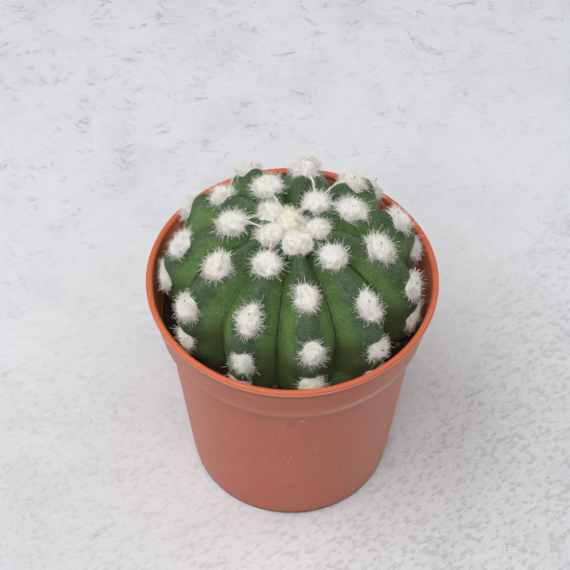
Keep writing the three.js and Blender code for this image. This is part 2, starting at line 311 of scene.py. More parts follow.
@dataclass(frozen=True)
class PotPlastic(Finish):
    """Terracotta-coloured plastic, bright on the lip and inside, filmed with dust and scratched outside. Some
    light and shade is painted in: a paler sheen at the sides, shade under the collar and the lip, highlights
    on the collar and along the lip's edge, a lit band inside the rim and a shadow line at the foot.
    """

    name: str = "terracotta_plastic"
    clean: Colour = (0.73, 0.160, 0.062)
    inside: Colour = (0.70, 0.215, 0.110)
    wiped: Colour = (0.640, 0.116, 0.050)
    lit_inner_rim: Colour = (0.92, 0.290, 0.150)
    deep: Colour = (0.592, 0.138, 0.068)
    dust: Colour = (0.632, 0.202, 0.124)
    painted_shade_and_streaks: Colour = (0.240, 0.075, 0.048)
    rubbed_edge: Colour = (0.760, 0.300, 0.205)
    scuff: Colour = (0.95, 0.52, 0.40)
    lip_highlight_and_nicks: Colour = (0.98, 0.46, 0.30)
    powder: Colour = (0.92, 0.80, 0.76)
    side_dust_and_sheen: Colour = (0.690, 0.330, 0.260)
    foot_shadow: Colour = (0.110, 0.062, 0.048)
    lip_bottom: float = 77.9 * MM
    collar_z: float = 64.2 * MM
    step_z: float = 58.5 * MM
    lip_radius: float = 41.97 * MM
    lip_highlight_z: float = 78.95 * MM
    foot_top: float = 9 * MM
    highlight_arc_z: float = 65.7 * MM
    cloud_size: float = 18 * MM
    mottle_size: float = 2.4 * MM
    grain_size: float = 0.5 * MM
    streak_size: float = 1.6 * MM

    def _field(self, graph: FinishGraph) -> PotField:
        """Adds the nodes that several layers read."""
        place = graph.place()
        x, y, z = graph.split(place)
        inner = graph.attribute("inner")
        turn = graph.math("ARCTAN2", y, x)
        distance = graph.reach(x, y)
        unrolled = graph.joined(turn * (40 * MM), z * 0.35, inner * 0.02)
        upright = graph.joined(turn * (14 * MM), z, inner * 0.02)
        cloud = graph.noise(place, self.cloud_size, 4.0, 0.55)
        mottle = graph.noise(place, self.mottle_size, 3.0, 0.6)
        grain = graph.noise(place, self.grain_size, 2.0, 0.6)
        streaks = graph.noise(unrolled, self.streak_size, 3.0, 0.65)
        film = graph.ease(cloud * 0.6 + mottle * 0.25 + streaks * 0.15, 0.34, 0.58)
        return PotField(
            place, x, z, inner, turn, distance, unrolled, upright, cloud, mottle, grain, streaks, film,
        )

    def _film(self, graph: FinishGraph, pot: PotField) -> Value:
        """The plastic under its film of dust.

        Args:
            graph: takes the nodes.
            pot: what varies over the pot.

        Returns:
            The colour. The sides are paler, partly from dust and partly from a painted sheen, and the dust is
            wiped off in patches low down.
        """
        speck = graph.patches(pot.place, 0.7 * MM, 0.30, 0.70, 2.0, 0.7)
        colour = graph.mix(pot.film * 0.66 + pot.grain * 0.14 + speck * 0.52 - 0.15, self.deep, self.dust)
        # Partly painted sheen: towards its left and right edges, as seen from the front, the wall is mixed
        # towards a paler colour, as a glancing sheen makes it look. The rest of that paleness is dust.
        sides = graph.ease(abs(pot.x + 3 * MM), 12 * MM, 34 * MM)
        colour = graph.mix(sides * (0.14 + 0.58 * pot.mottle), colour, self.side_dust_and_sheen)
        wiped = graph.patches(pot.place, 6 * MM, 0.54, 0.68, 4.0, 0.65, 0.8)
        wiped = wiped * graph.ease(pot.z, 54 * MM, 26 * MM)
        return graph.mix(wiped * 0.5, colour, self.wiped)

    def _collar(self, graph: FinishGraph, pot: PotField, colour: Value) -> Value:
        """The collar over the film.

        Args:
            graph: takes the nodes.
            pot: what varies over the pot.
            colour: the colour so far.

        Returns:
            The colour with deeper red plastic on the collar's front, painted shade under the collar and under
            the lip, dark brushed streaks on the collar, and a rubbed edge.
        """
        z = pot.z
        above_edge = graph.ease(z, self.collar_z - 0.6 * MM, self.collar_z + 0.7 * MM)
        front = graph.ease(abs(pot.x - 9 * MM), 26 * MM, 8 * MM) * above_edge
        colour = graph.mix(front * 0.5, colour, self.deep)
        # Painted shade: the step under the collar and the band under the lip are darkened where shade falls.
        # The brushed streaks on the collar take the same dark colour as a real texture.
        under_collar = graph.ease(z, self.step_z - 1 * MM, self.collar_z - 0.6 * MM) * (1.0 - above_edge)
        below_lip = graph.ease(z, self.lip_bottom - 2.6 * MM, self.lip_bottom - 0.4 * MM)
        brushed = graph.noise(graph.joined(pot.turn * (12 * MM), z, 0.0), 1.1 * MM, 3.0, 0.65) - 0.5
        shaded = under_collar * (0.30 + 0.35 * pot.mottle) + below_lip * 0.55 + above_edge * brushed * 0.85
        colour = graph.mix(shaded, colour, self.painted_shade_and_streaks)
        worn_edge = above_edge * graph.ease(z, self.collar_z + 6 * MM, self.collar_z + 1 * MM)
        return graph.mix(worn_edge * (0.20 + pot.streaks * 0.4), colour, self.rubbed_edge)

    def _marks(self, graph: FinishGraph, pot: PotField, colour: Value) -> tuple[Value, Value, Value]:
        """The fine marks of wear, and a pale arc along the collar's left side, which is a painted highlight
        with some powder.

        Args:
            graph: takes the nodes.
            pot: what varies over the pot.
            colour: the colour so far.

        Returns:
            The colour with the marks, how pale the marks make it, and where the scratches are.
        """
        wear = graph.patches(pot.place, 9 * MM, 0.52, 0.68)
        hair_line = abs(graph.noise(pot.upright, 3.1 * MM, 1.0, 0.5, 0.6) - 0.5)
        scratch = graph.ease(hair_line, 0.006, 0.0) * wear
        rub = abs(graph.noise(pot.unrolled, 4.5 * MM, 2.0, 0.5, 0.4) - 0.47)
        rubbed = graph.ease(rub, 0.008, 0.0) * graph.patches(pot.place, 13 * MM, 0.58, 0.70, 1.0)
        pale = graph.math("MAXIMUM", scratch * 0.24, rubbed * 0.24)
        chips = graph.specks(pot.place, 2.4 * MM, 0.15, 0.22)
        pale = graph.math("MAXIMUM", pale, chips * 0.45 * graph.ease(pot.mottle, 0.45, 0.6))
        colour = graph.mix(pale, colour, self.scuff)
        # Painted highlight with some powder: a pale arc that bows along the collar just above its lower edge.
        bowed = pot.z + (pot.turn + 0.98) ** 2 * (6.5 * MM)
        arc = graph.ease(abs(bowed - self.highlight_arc_z), 2.1 * MM, 0.1 * MM)
        arc = arc * graph.ease(pot.turn, -1.42, -1.05) * graph.ease(pot.turn, -0.42, -0.75)
        return graph.mix(arc * (0.12 + 0.26 * pot.streaks), colour, self.powder), pale, scratch

    def _lip_and_inside(self, graph: FinishGraph, pot: PotField, colour: Value) -> tuple[Value, Value]:
        """The bright lip with a painted highlight line on its outer edge and pale nicks, and the inside, whose
        top band is painted light.

        Args:
            graph: takes the nodes.
            pot: what varies over the pot.
            colour: the colour so far.

        Returns:
            The colour, and where the lip is.
        """
        z, mottle, inner = pot.z, pot.mottle, pot.inner
        lip = graph.ease(z, self.lip_bottom, self.lip_bottom + 0.4 * MM)
        crown = graph.ease(pot.distance, self.lip_radius, self.lip_radius + 0.1 * MM)
        lip = graph.math("MAXIMUM", lip, crown * graph.ease(z, 60 * MM, 70 * MM))
        bright = graph.mix(graph.ease(mottle, 0.40, 0.80) * 0.3, self.clean, self.deep)
        # Painted highlight: a pale line along the outer lower edge of the lip, where the bead catches the
        # light. The nicks are real wear.
        lip_edge_highlight = graph.ease(abs(z - self.lip_highlight_z), 0.55 * MM, 0.15 * MM) * (1.0 - inner)
        nicks = graph.specks(graph.joined(pot.turn * (42 * MM), z, 0.0), 2.2 * MM, 0.20, 0.08)
        bright = graph.mix(lip_edge_highlight * (0.25 + pot.streaks * 0.8) + nicks * 0.4, bright, self.lip_highlight_and_nicks)
        colour = graph.mix(lip, colour, bright)
        stained = graph.ease(mottle * 0.5 + pot.cloud * 0.5, 0.40, 0.75)
        inside = graph.mix(stained * 0.5, self.inside, self.deep)
        # Painted light: the top band of the inner wall, under the lip, is painted brighter as if lit.
        inside = graph.mix(graph.ease(z, 75 * MM, 77.5 * MM), inside, self.lit_inner_rim)
        return graph.mix(inner * (1.0 - lip), colour, inside), lip

    def draw(self, graph: FinishGraph) -> None:
        """Adds the finish's nodes."""
        pot = self._field(graph)
        colour = self._collar(graph, pot, self._film(graph, pot))
        colour, pale, scratch = self._marks(graph, pot, colour)
        colour, lip = self._lip_and_inside(graph, pot, colour)
        grime = graph.ease(pot.z, self.foot_top, 0.0) * graph.ease(pot.mottle, 0.35, 0.75)
        colour = graph.mix(grime * 0.3, colour, self.deep)
        # Painted shadow: a dark line at the very foot, where the pot meets the floor.
        colour = graph.mix(graph.ease(pot.z, 2.2 * MM, 0.6 * MM) * 0.9, colour, self.foot_shadow)
        roughness = 0.42 + pot.film * 0.14 + pale * 0.2 - lip * 0.08
        relief = pot.mottle * 0.35 + pot.streaks * 0.3 + pot.grain * 0.15 + (1.0 - scratch * 0.5)
        graph.surface(colour, roughness, relief, 0.07 * MM, IOR=1.45)


@dataclass(frozen=True)
class CactusSkin(Finish):
    """Matt waxy green skin: greyish crests, fresh speckled flanks and furrows painted dark as shade. Shade
    round each areole and a pale highlight line along the crests' edges are painted too.
    """

    name: str = "cactus_skin"
    flank: Colour = (0.064, 0.136, 0.030)
    fresh: Colour = (0.128, 0.236, 0.066)
    crest: Colour = (0.044, 0.090, 0.036)
    bloom: Colour = (0.094, 0.148, 0.074)
    shaded: Colour = (0.040, 0.082, 0.038)
    edge: Colour = (0.260, 0.330, 0.200)
    furrow: Colour = (0.018, 0.040, 0.006)
    corky: Colour = (0.088, 0.118, 0.046)
    fleck: Colour = (0.420, 0.500, 0.340)
    cloud_size: float = 8 * MM
    mottle_size: float = 1.3 * MM
    grain_size: float = 0.42 * MM

    def draw(self, graph: FinishGraph) -> None:
        """Adds the finish's nodes."""
        place = graph.place()
        across = abs(graph.attribute("across"))
        fall = graph.attribute("fall")
        areole = graph.attribute("areole")
        cloud = graph.noise(place, self.cloud_size, 3.0, 0.55)
        mottle = graph.noise(place, self.mottle_size, 3.0, 0.65)
        grain = graph.noise(place, self.grain_size, 2.0, 0.6)
        wander = across + (cloud - 0.5) * 0.30 + (mottle - 0.5) * 0.08

        fresh = graph.ease(cloud * 0.45 + mottle * 0.30 + grain * 0.25 + (fall - 0.5) * 0.45, 0.38, 0.62)
        colour = graph.mix(fresh, self.flank, self.fresh)
        band = graph.ease(wander, 0.62, 0.34)
        powder = graph.ease(mottle * 0.5 + grain * 0.5, 0.36, 0.66)
        crest = graph.mix(powder * 0.60 + graph.ease(cloud, 0.48, 0.66) * 0.45 - 0.05, self.crest, self.bloom)
        # Painted shadow: the crest darkens round each areole, where its tuft shades it.
        crest = graph.mix(areole ** 0.25 * 0.42, crest, self.shaded)
        colour = graph.mix(band * 0.94, colour, crest)
        # Painted highlight: a thin pale line along the edge of the crest's band, left out near the areoles.
        line = graph.ease(abs(wander - 0.40), 0.05, 0.0)
        edge_highlight_here = graph.ease(cloud, 0.40, 0.62) * (1.0 - areole)
        colour = graph.mix(line * edge_highlight_here * 0.28, colour, self.edge)
        # Painted shade: the furrows are mixed to a near-black green where shade falls in them.
        colour = graph.mix(graph.ease(across, 0.88, 0.985), colour, self.furrow)

        old = graph.ease(fall + (cloud - 0.5) * 0.2, 0.66, 0.96)
        colour = graph.mix(old * 0.72, colour, self.corky)
        flecks = graph.specks(place, 1.5 * MM, 0.14, 0.34) * graph.ease(mottle, 0.40, 0.55)
        powdered = graph.patches(place, 0.50 * MM, 0.48, 0.70, 2.0, 0.7)
        colour = graph.mix(flecks * 0.8 + powdered * 0.24 - 0.03, colour, self.fleck)
        roughness = 0.44 + band * 0.10 + grain * 0.12 + old * 0.1 + graph.ease(across, 0.80, 0.95) * 0.45
        relief = mottle * 0.6 + grain * 0.4
        graph.surface(colour, roughness, relief, 0.15 * MM, Subsurface_Weight=0.06,
                      Subsurface_Radius=(0.4, 1.0, 0.2), Subsurface_Scale=1.0 * MM, IOR=1.40)


@dataclass(frozen=True)
class Wool(Finish):
    """Off-white felt: creamy in the crown, painted greyer at the roots of the hair and on the felt beneath it
    as shade, and old wool has a tan tint low down.
    """

    name: str = "areole_wool"
    white: Colour = (0.985, 0.970, 0.935)
    cream: Colour = (0.970, 0.955, 0.745)
    root: Colour = (0.630, 0.605, 0.545)
    tan: Colour = (0.780, 0.650, 0.480)
    dust: Colour = (0.380, 0.200, 0.100)
    yellowed: Colour = (0.975, 0.910, 0.780)

    def draw(self, graph: FinishGraph) -> None:
        """Adds the finish's nodes."""
        place = graph.place()
        patch = graph.noise(place, 2.2 * MM, 2.0, 0.6)
        colour = graph.mix(graph.attribute("cream"), self.white, self.cream)
        colour = graph.mix(graph.ease(graph.attribute("aged"), 0.2, 0.9) * 0.6, colour, self.yellowed)
        aged = (0.25 + graph.attribute("aged")) * graph.ease(graph.attribute("low") + patch - 0.5, 0.15, 0.85)
        colour = graph.mix(aged * graph.ease(patch, 0.42, 0.60) * 1.5, colour, self.tan)
        curl = graph.noise(place, 0.55 * MM, 2.0, 0.6) - 0.5
        # Partly painted shade: the felt, and each hair towards its root, are darker by their depth. The random
        # dullness and the curl noise are the wool's own tone.
        matted = graph.attribute("depth") * 0.18 + graph.attribute("dull") * 0.50 + curl * 1.3
        colour = graph.mix(matted, colour, self.root)
        flecks = graph.specks(place, 0.8 * MM, 0.30, 0.09)
        colour = graph.mix(flecks * 0.5, colour, self.dust)
        graph.surface(colour, 0.9, None, Specular_IOR_Level=0.1)


@dataclass(frozen=True)
class SpineHorn(Finish):
    """Dark horn, redder at the foot of the spine."""

    name: str = "spine_horn"
    tip: Colour = (0.085, 0.045, 0.028)
    foot: Colour = (0.230, 0.110, 0.055)

    def draw(self, graph: FinishGraph) -> None:
        """Adds the finish's nodes."""
        patch = graph.noise(graph.place(), 0.6 * MM, 2.0)
        graph.surface(graph.mix(patch, self.tip, self.foot), 0.5, None)


@dataclass(frozen=True)
class LooseMatter(Finish):
    """Peat, bark or grit: one ground colour broken up by a second one."""

    name: str = "peat"
    main: Colour = (0.012, 0.008, 0.006)
    other: Colour = (0.036, 0.023, 0.015)
    patch_size: float = 1.4 * MM
    damp_roughness: float = 0.75

    def draw(self, graph: FinishGraph) -> None:
        """Adds the finish's nodes."""
        place = graph.place()
        patch = graph.noise(place, self.patch_size, 4.0, 0.65)
        fibre = graph.noise(place, 0.35 * MM, 3.0, 0.7)
        colour = graph.mix(graph.ease(patch * 0.6 + fibre * 0.4, 0.38, 0.68), self.main, self.other)
        graph.surface(colour, self.damp_roughness + 0.2 * fibre, patch * 0.5 + fibre * 0.5, 0.25 * MM)


@dataclass(frozen=True)
class RubbedPlastic(Finish):
    """The pale powder of a scuff, which fades out towards its sides."""

    name: str = "scuffed_plastic"
    powder: Colour = (0.84, 0.46, 0.36)

    def draw(self, graph: FinishGraph) -> None:
        """Adds the finish's nodes."""
        place = graph.place()
        grain = graph.noise(place, 0.45 * MM, 3.0, 0.7)
        patch = graph.noise(place, 2.2 * MM, 2.0)
        body = 1.0 - graph.attribute("across") ** 2
        solid = body * 0.5 + grain * 0.8 + (patch - 0.5) * 0.6 + graph.attribute("strength") * 0.4
        cover = graph.ease(solid, 0.96, 1.08)
        graph.surface(self.powder, 0.7, None, Alpha=cover)


@dataclass(frozen=True)
class Plaster(Finish):
    """The pale surface that the pot stands on: smoothed plaster with fine creases.

    It is rougher and pebbled at the near right, and its creases are darker at the far left.
    """

    name: str = "pale_plaster"
    ground: Colour = (0.81, 0.825, 0.855)
    light: Colour = (0.86, 0.875, 0.900)
    shade: Colour = (0.66, 0.675, 0.700)
    crease: Colour = (0.46, 0.47, 0.50)

    def draw(self, graph: FinishGraph) -> None:
        """Adds the finish's nodes."""
        place = graph.place()
        x, y, _ = graph.split(place)
        cloud = graph.noise(place, 34 * MM, 4.0, 0.6, 0.6)
        grit = graph.noise(place, 1.5 * MM, 3.0, 0.65)
        nearness = graph.math("MAXIMUM", x - y * 0.6, x * 0.5 - y)
        rough_side = graph.ease(nearness + (cloud - 0.5) * 0.06, 0.008, 0.062)
        far_side = graph.ease(y * 1.2 - x * 0.6 + (cloud - 0.5) * 0.08, 0.10, 0.22)

        sway = graph.noise(place, 26 * MM, 1.0) - 0.5
        other_sway = graph.noise(graph.vector("ADD", place, (0.3, 0.1, 0.2)), 26 * MM, 1.0) - 0.5
        u, v = x + sway * (26 * MM), y + other_sway * (26 * MM)
        near = graph.ease(y, 0.09, -0.02)
        level = graph.joined(u * 0.66 + v * 0.15, v - u * 0.15, 0.0)
        dark_stroke = graph.patches(level, 3.8 * MM, 0.52, 0.76, 1.6, 0.5, 0.9)
        dark_stroke = dark_stroke * graph.patches(place, 11 * MM, 0.42, 0.60)
        falling = graph.joined(u * 0.6 + v * 0.6, (v - u) * 0.24, 0.1)
        other_stroke = graph.patches(falling, 3.2 * MM, 0.53, 0.76, 1.6, 0.5, 0.9)
        other_stroke = other_stroke * graph.patches(place, 14 * MM, 0.50, 0.64)
        strokes = (dark_stroke + other_stroke * 0.8) * graph.patches(place, 1.7 * MM, 0.30, 0.62)
        pale = graph.patches(level, 3.4 * MM, 0.42, 0.24)

        slanted = graph.joined(x * 0.55 + y * 0.25, y * 0.8 - x * 0.5, 0.2)
        pebbles = graph.patches(slanted, 1.5 * MM, 0.50, 0.68, 2.0, 0.55)
        blotches = graph.noise(place, 6 * MM, 2.0, 0.6, 0.8) - 0.5
        broad = graph.ease(cloud, 0.40, 0.75) * (0.34 + far_side * 0.26) + blotches * (0.25 + far_side * 0.45)
        dull = broad + (grit - 0.5) * (0.14 + near * 0.5) + strokes * (0.38 + far_side * 0.85)
        dull = dull + pebbles * (0.06 + near * 0.42 + rough_side * 0.26)
        colour = graph.mix(dull, self.ground, self.shade)
        creased = strokes * (0.10 + far_side * 0.36) + pebbles * rough_side * 0.12
        colour = graph.mix(creased, colour, self.crease)
        colour = graph.mix(pale * 0.55, colour, self.light)
        relief = cloud * 0.30 + grit * (0.04 + near * 0.10 + rough_side * 0.08)
        relief = relief - strokes * 0.12 - pebbles * (0.02 + rough_side * 0.12)
        graph.surface(colour, 0.85, relief, 1.4 * MM)


class ShapeGraph(Graph):
    """The nodes of one shape, as a Geometry Nodes group with named inputs."""

    def __init__(self, name: str, *sizes: str, seeds: Sequence[str] = ()) -> None:
        """Starts a group, whose first input is the base geometry and whose last is the finish.

        Args:
            name: the group's name.
            sizes: the names of its sizes.
            seeds: the names of its random seeds.
        """
        super().__init__(bpy.data.node_groups.new(name, "GeometryNodeTree"))
        numbers = {**dict.fromkeys(sizes, "Float"), **dict.fromkeys(seeds, "Int")}
        kinds = {"Base": "Geometry", **numbers, "Finish": "Material"}
        interface = self.tree.interface
        for label, kind in kinds.items():
            interface.new_socket(label, in_out="INPUT", socket_type=f"NodeSocket{kind}")
        interface.new_socket("Shape", in_out="OUTPUT", socket_type="NodeSocketGeometry")
        self.entry = self.node("NodeGroupInput")

    def given(self, name: str) -> Value:
        """An input of the group."""
        return self.out(self.entry, name)

    def named(self, name: str, kind: str = "FLOAT") -> Value:
        """An attribute of the geometry."""
        node = self.node("GeometryNodeInputNamedAttribute", {"data_type": kind}, {"Name": name})
        return self.out(node, "Attribute")

    def way(self, name: str) -> Value:
        """An attribute of the geometry that is a vector."""
        return self.named(name, "FLOAT_VECTOR")

    def store(self, geometry: Any, name: str, value: Any, kind: str = "FLOAT",
              domain: str = "POINT") -> Value:
        """Writes an attribute to the geometry."""
        settings = {"data_type": kind, "domain": domain}
        inputs = {"Geometry": geometry, "Name": name, "Value": value}
        return self.out(self.node("GeometryNodeStoreNamedAttribute", settings, inputs))

    def position(self) -> Value:
        """The position of each point."""
        return self.out(self.node("GeometryNodeInputPosition"))

    def normal(self) -> Value:
        """The direction that each point or face looks in."""
        return self.out(self.node("GeometryNodeInputNormal"))

    def around(self, radius: Value, turn: Value, height: Value) -> Value:
        """The place at a distance from the Z axis, an angle round it and a height."""
        return self.joined(radius * self.math("COSINE", turn), radius * self.math("SINE", turn), height)

    def drift(self, size: float, reach: Number, detail: float = 1.0) -> Value:
        """A vector that varies smoothly over space, by half the reach at most along each axis."""
        inputs = {"Vector": self.position(), "Scale": 1.0 / size, "Detail": detail}
        cloud = self.out(self.node("ShaderNodeTexNoise", None, inputs), "Color")
        return self.scaled(self.vector("SUBTRACT", cloud, (0.5, 0.5, 0.5)), reach)

    def stirred(self, geometry: Any, size: float, reach: float) -> Value:
        """Shifts each point by a smooth noise, by no more than the reach along each axis."""
        return self.moved(geometry, offset=self.drift(size, 2 * reach, 2.0))

    def random(self, low: Any, high: Any, seed: int) -> Value:
        """A random number or vector for each point or copy."""
        kind = "FLOAT_VECTOR" if isinstance(low, tuple) else "FLOAT"
        inputs = {"Min": low, "Max": high, "Seed": seed}
        return self.out(self.node("FunctionNodeRandomValue", {"data_type": kind}, inputs), "Value")

    def turned_to(self, direction: Any, axis: str = "Z", first: Any = None) -> Value:
        """The rotation that brings an axis to a direction, after a first rotation where there is one."""
        settings = {"axis": axis} if first is None else {"axis": axis, "pivot_axis": "Z"}
        inputs = {"Vector": direction} if first is None else {"Rotation": first, "Vector": direction}
        return self.out(self.node("FunctionNodeAlignRotationToVector", settings, inputs))

    def copies(self, points: Any, instance: Any, rotation: Any, scale: Any, pick: bool = False) -> Value:
        """Sets a copy of a shape, or of one picked from several, on each point."""
        return self.out(self.node("GeometryNodeInstanceOnPoints", None, {
            "Points": points, "Instance": instance, "Pick Instance": pick, "Rotation": rotation,
            "Scale": scale,
        }))

    def moved(self, geometry: Any, **places: Value) -> Value:
        """Moves the points of a geometry to a position, by an offset or both."""
        inputs = {"Geometry": geometry, **{label.title(): place for label, place in places.items()}}
        return self.out(self.node("GeometryNodeSetPosition", None, inputs))

    def tube(self, line: Any, thickness: Any, sides: int, radius: Any) -> Value:
        """Gives a line a round body.

        Args:
            line: the curve.
            thickness: how thick each point is, as a share of the radius.
            sides: the number of the body's sides.
            radius: the radius where the share is 1.

        Returns:
            The closed mesh.
        """
        shaped = self.node("GeometryNodeSetCurveRadius", None, {0: line, "Radius": thickness})
        circle = self.node("GeometryNodeCurvePrimitiveCircle", None, {"Resolution": sides, "Radius": radius})
        return self.out(self.node("GeometryNodeCurveToMesh", None, {
            "Curve": shaped.outputs[0], "Profile Curve": circle.outputs[0], "Fill Caps": True,
        }))

    def facing(self, geometry: Any, direction: Value) -> Value:
        """Has a mesh shaded as if each point faced a direction, as matted hair scatters the light."""
        return self.out(self.node("GeometryNodeSetMeshNormal", {"mode": "FREE", "domain": "POINT"}, {
            "Mesh": geometry, "Custom Normal": self.vector("NORMALIZE", direction),
        }))

    def realized(self, geometry: Any) -> Value:
        """Turns copies into real geometry."""
        return self.out(self.node("GeometryNodeRealizeInstances", None, {"Geometry": geometry}))

    def together(self, *geometries: Any) -> Value:
        """Joins geometries."""
        node = self.node("GeometryNodeJoinGeometry")
        for geometry in reversed(geometries):
            self.feed(node.inputs[0], geometry)
        return self.out(node)

    def end(self, geometry: Any) -> None:
        """Ends the group: copies are realized, shaded smoothly and given the finish."""
        smooth = self.node("GeometryNodeSetShadeSmooth", None, {"Geometry": self.realized(geometry)})
        inputs = {0: smooth.outputs[0], "Material": self.given("Finish")}
        dressed = self.node("GeometryNodeSetMaterial", None, inputs)
        self.node("NodeGroupOutput", None, {0: dressed.outputs[0]})

    def applied(self, name: str, base: bpy.types.Mesh, values: dict[str, Any]) -> bpy.types.Object:
        """Runs the group on a base mesh and keeps the result as a plain mesh.

        Args:
            name: the piece's name.
            base: the mesh that the group starts from.
            values: what the group's inputs get, by name.

        Returns:
            The piece, with no modifier left on it.
        """
        piece = add_object(name, base)
        modifier = piece.modifiers.new("shape", "NODES")
        modifier.node_group = self.tree
        for item in self.tree.interface.items_tree:
            if item.in_out == "INPUT" and item.name in values:
                modifier[item.identifier] = values[item.name]
        result = bpy.data.meshes.new_from_object(piece.evaluated_get(bpy.context.evaluated_depsgraph_get()))
        piece.modifiers.clear()
        piece.data = result
        result.name = name
        return piece


def add_object(name: str, data: Any) -> bpy.types.Object:
    """Adds an object to the scene."""
    thing = bpy.data.objects.new(name, data)
    bpy.context.scene.collection.objects.link(thing)
    return thing


def make_mesh(name: str, points: np.ndarray, faces: Iterable[Sequence[int]] = (),
              edges: Iterable[Sequence[int]] = (), **attributes: np.ndarray) -> bpy.types.Mesh:
    """Makes a mesh whose points carry attributes.

    Args:
        name: the mesh's name.
        points: one row of three coordinates for each point.
        faces: the corners of each face, counter-clockwise from outside.
        edges: the ends of each loose edge.
        attributes: one number, or one row of three, for each point.

    Returns:
        The mesh.
    """
    mesh = bpy.data.meshes.new(name)
    mesh.from_pydata(points.tolist(), list(edges), list(faces))
    for label, values in attributes.items():
        array = np.asarray(values, np.float32)
        kind, key = ("FLOAT", "value") if array.ndim == 1 else ("FLOAT_VECTOR", "vector")
        mesh.attributes.new(label, kind, "POINT").data.foreach_set(key, array.ravel())
    for polygon in mesh.polygons:
        polygon.use_smooth = True
    return mesh


def ring_faces(rows: int, columns: int) -> list[tuple[int, ...]]:
    """The faces of a closed skin of rings between two poles.

    Args:
        rows: the number of rings.
        columns: the number of points in a ring, which run counter-clockwise seen from above.

    Returns:
        The faces. Point 0 is the top pole, the rings follow from the top down, and the last point is the
        other pole.
    """
    def at(row: int, column: int) -> int:
        """The number of a ring's point."""
        return 1 + row * columns + column % columns

    last = 1 + rows * columns
    faces: list[tuple[int, ...]] = [(0, at(0, c), at(0, c + 1)) for c in range(columns)]
    for row in range(rows - 1):
        faces += [(at(row, c), at(row + 1, c), at(row + 1, c + 1), at(row, c + 1)) for c in range(columns)]
    faces += [(at(rows - 1, c), last, at(rows - 1, c + 1)) for c in range(columns)]
    return faces


def turned_mesh(name: str, outline: Sequence[tuple[float, float]], sides: int,
                **attributes: Sequence[float]) -> bpy.types.Mesh:
    """Turns an outline about the Z axis.

    Args:
        name: the mesh's name.
        outline: (radius, z) points from the axis at the top to the axis at the bottom.
        sides: the number of sides.
        attributes: one number for each point of the outline.

    Returns:
        The closed mesh.
    """
    turns = np.linspace(0, 2 * math.pi, sides, endpoint=False)
    cosines, sines = np.cos(turns), np.sin(turns)
    rings = [np.column_stack((r * cosines, r * sines, np.full(sides, z))) for r, z in outline[1:-1]]
    points = np.vstack(([[0, 0, outline[0][1]]], *rings, [[0, 0, outline[-1][1]]]))
    spread = {
        label: np.concatenate(([values[0]], np.repeat(values[1:-1], sides), [values[-1]]))
        for label, values in attributes.items()
    }
    return make_mesh(name, points, ring_faces(len(rings), sides), **spread)


def hand_over(piece: bpy.types.Object, slot: Slot, *nodes: str) -> None:
    """Ties a finished piece to the frame.

    Args:
        piece: the finished piece.
        slot: not used.
        nodes: the plain solids that it stands for.
    """
    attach(piece, "root")
    if nodes:
        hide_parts(*nodes)
    triangles = sum(len(polygon.vertices) - 2 for polygon in piece.data.polygons)
    LOG.info("%s: %d triangles", piece.name, triangles)


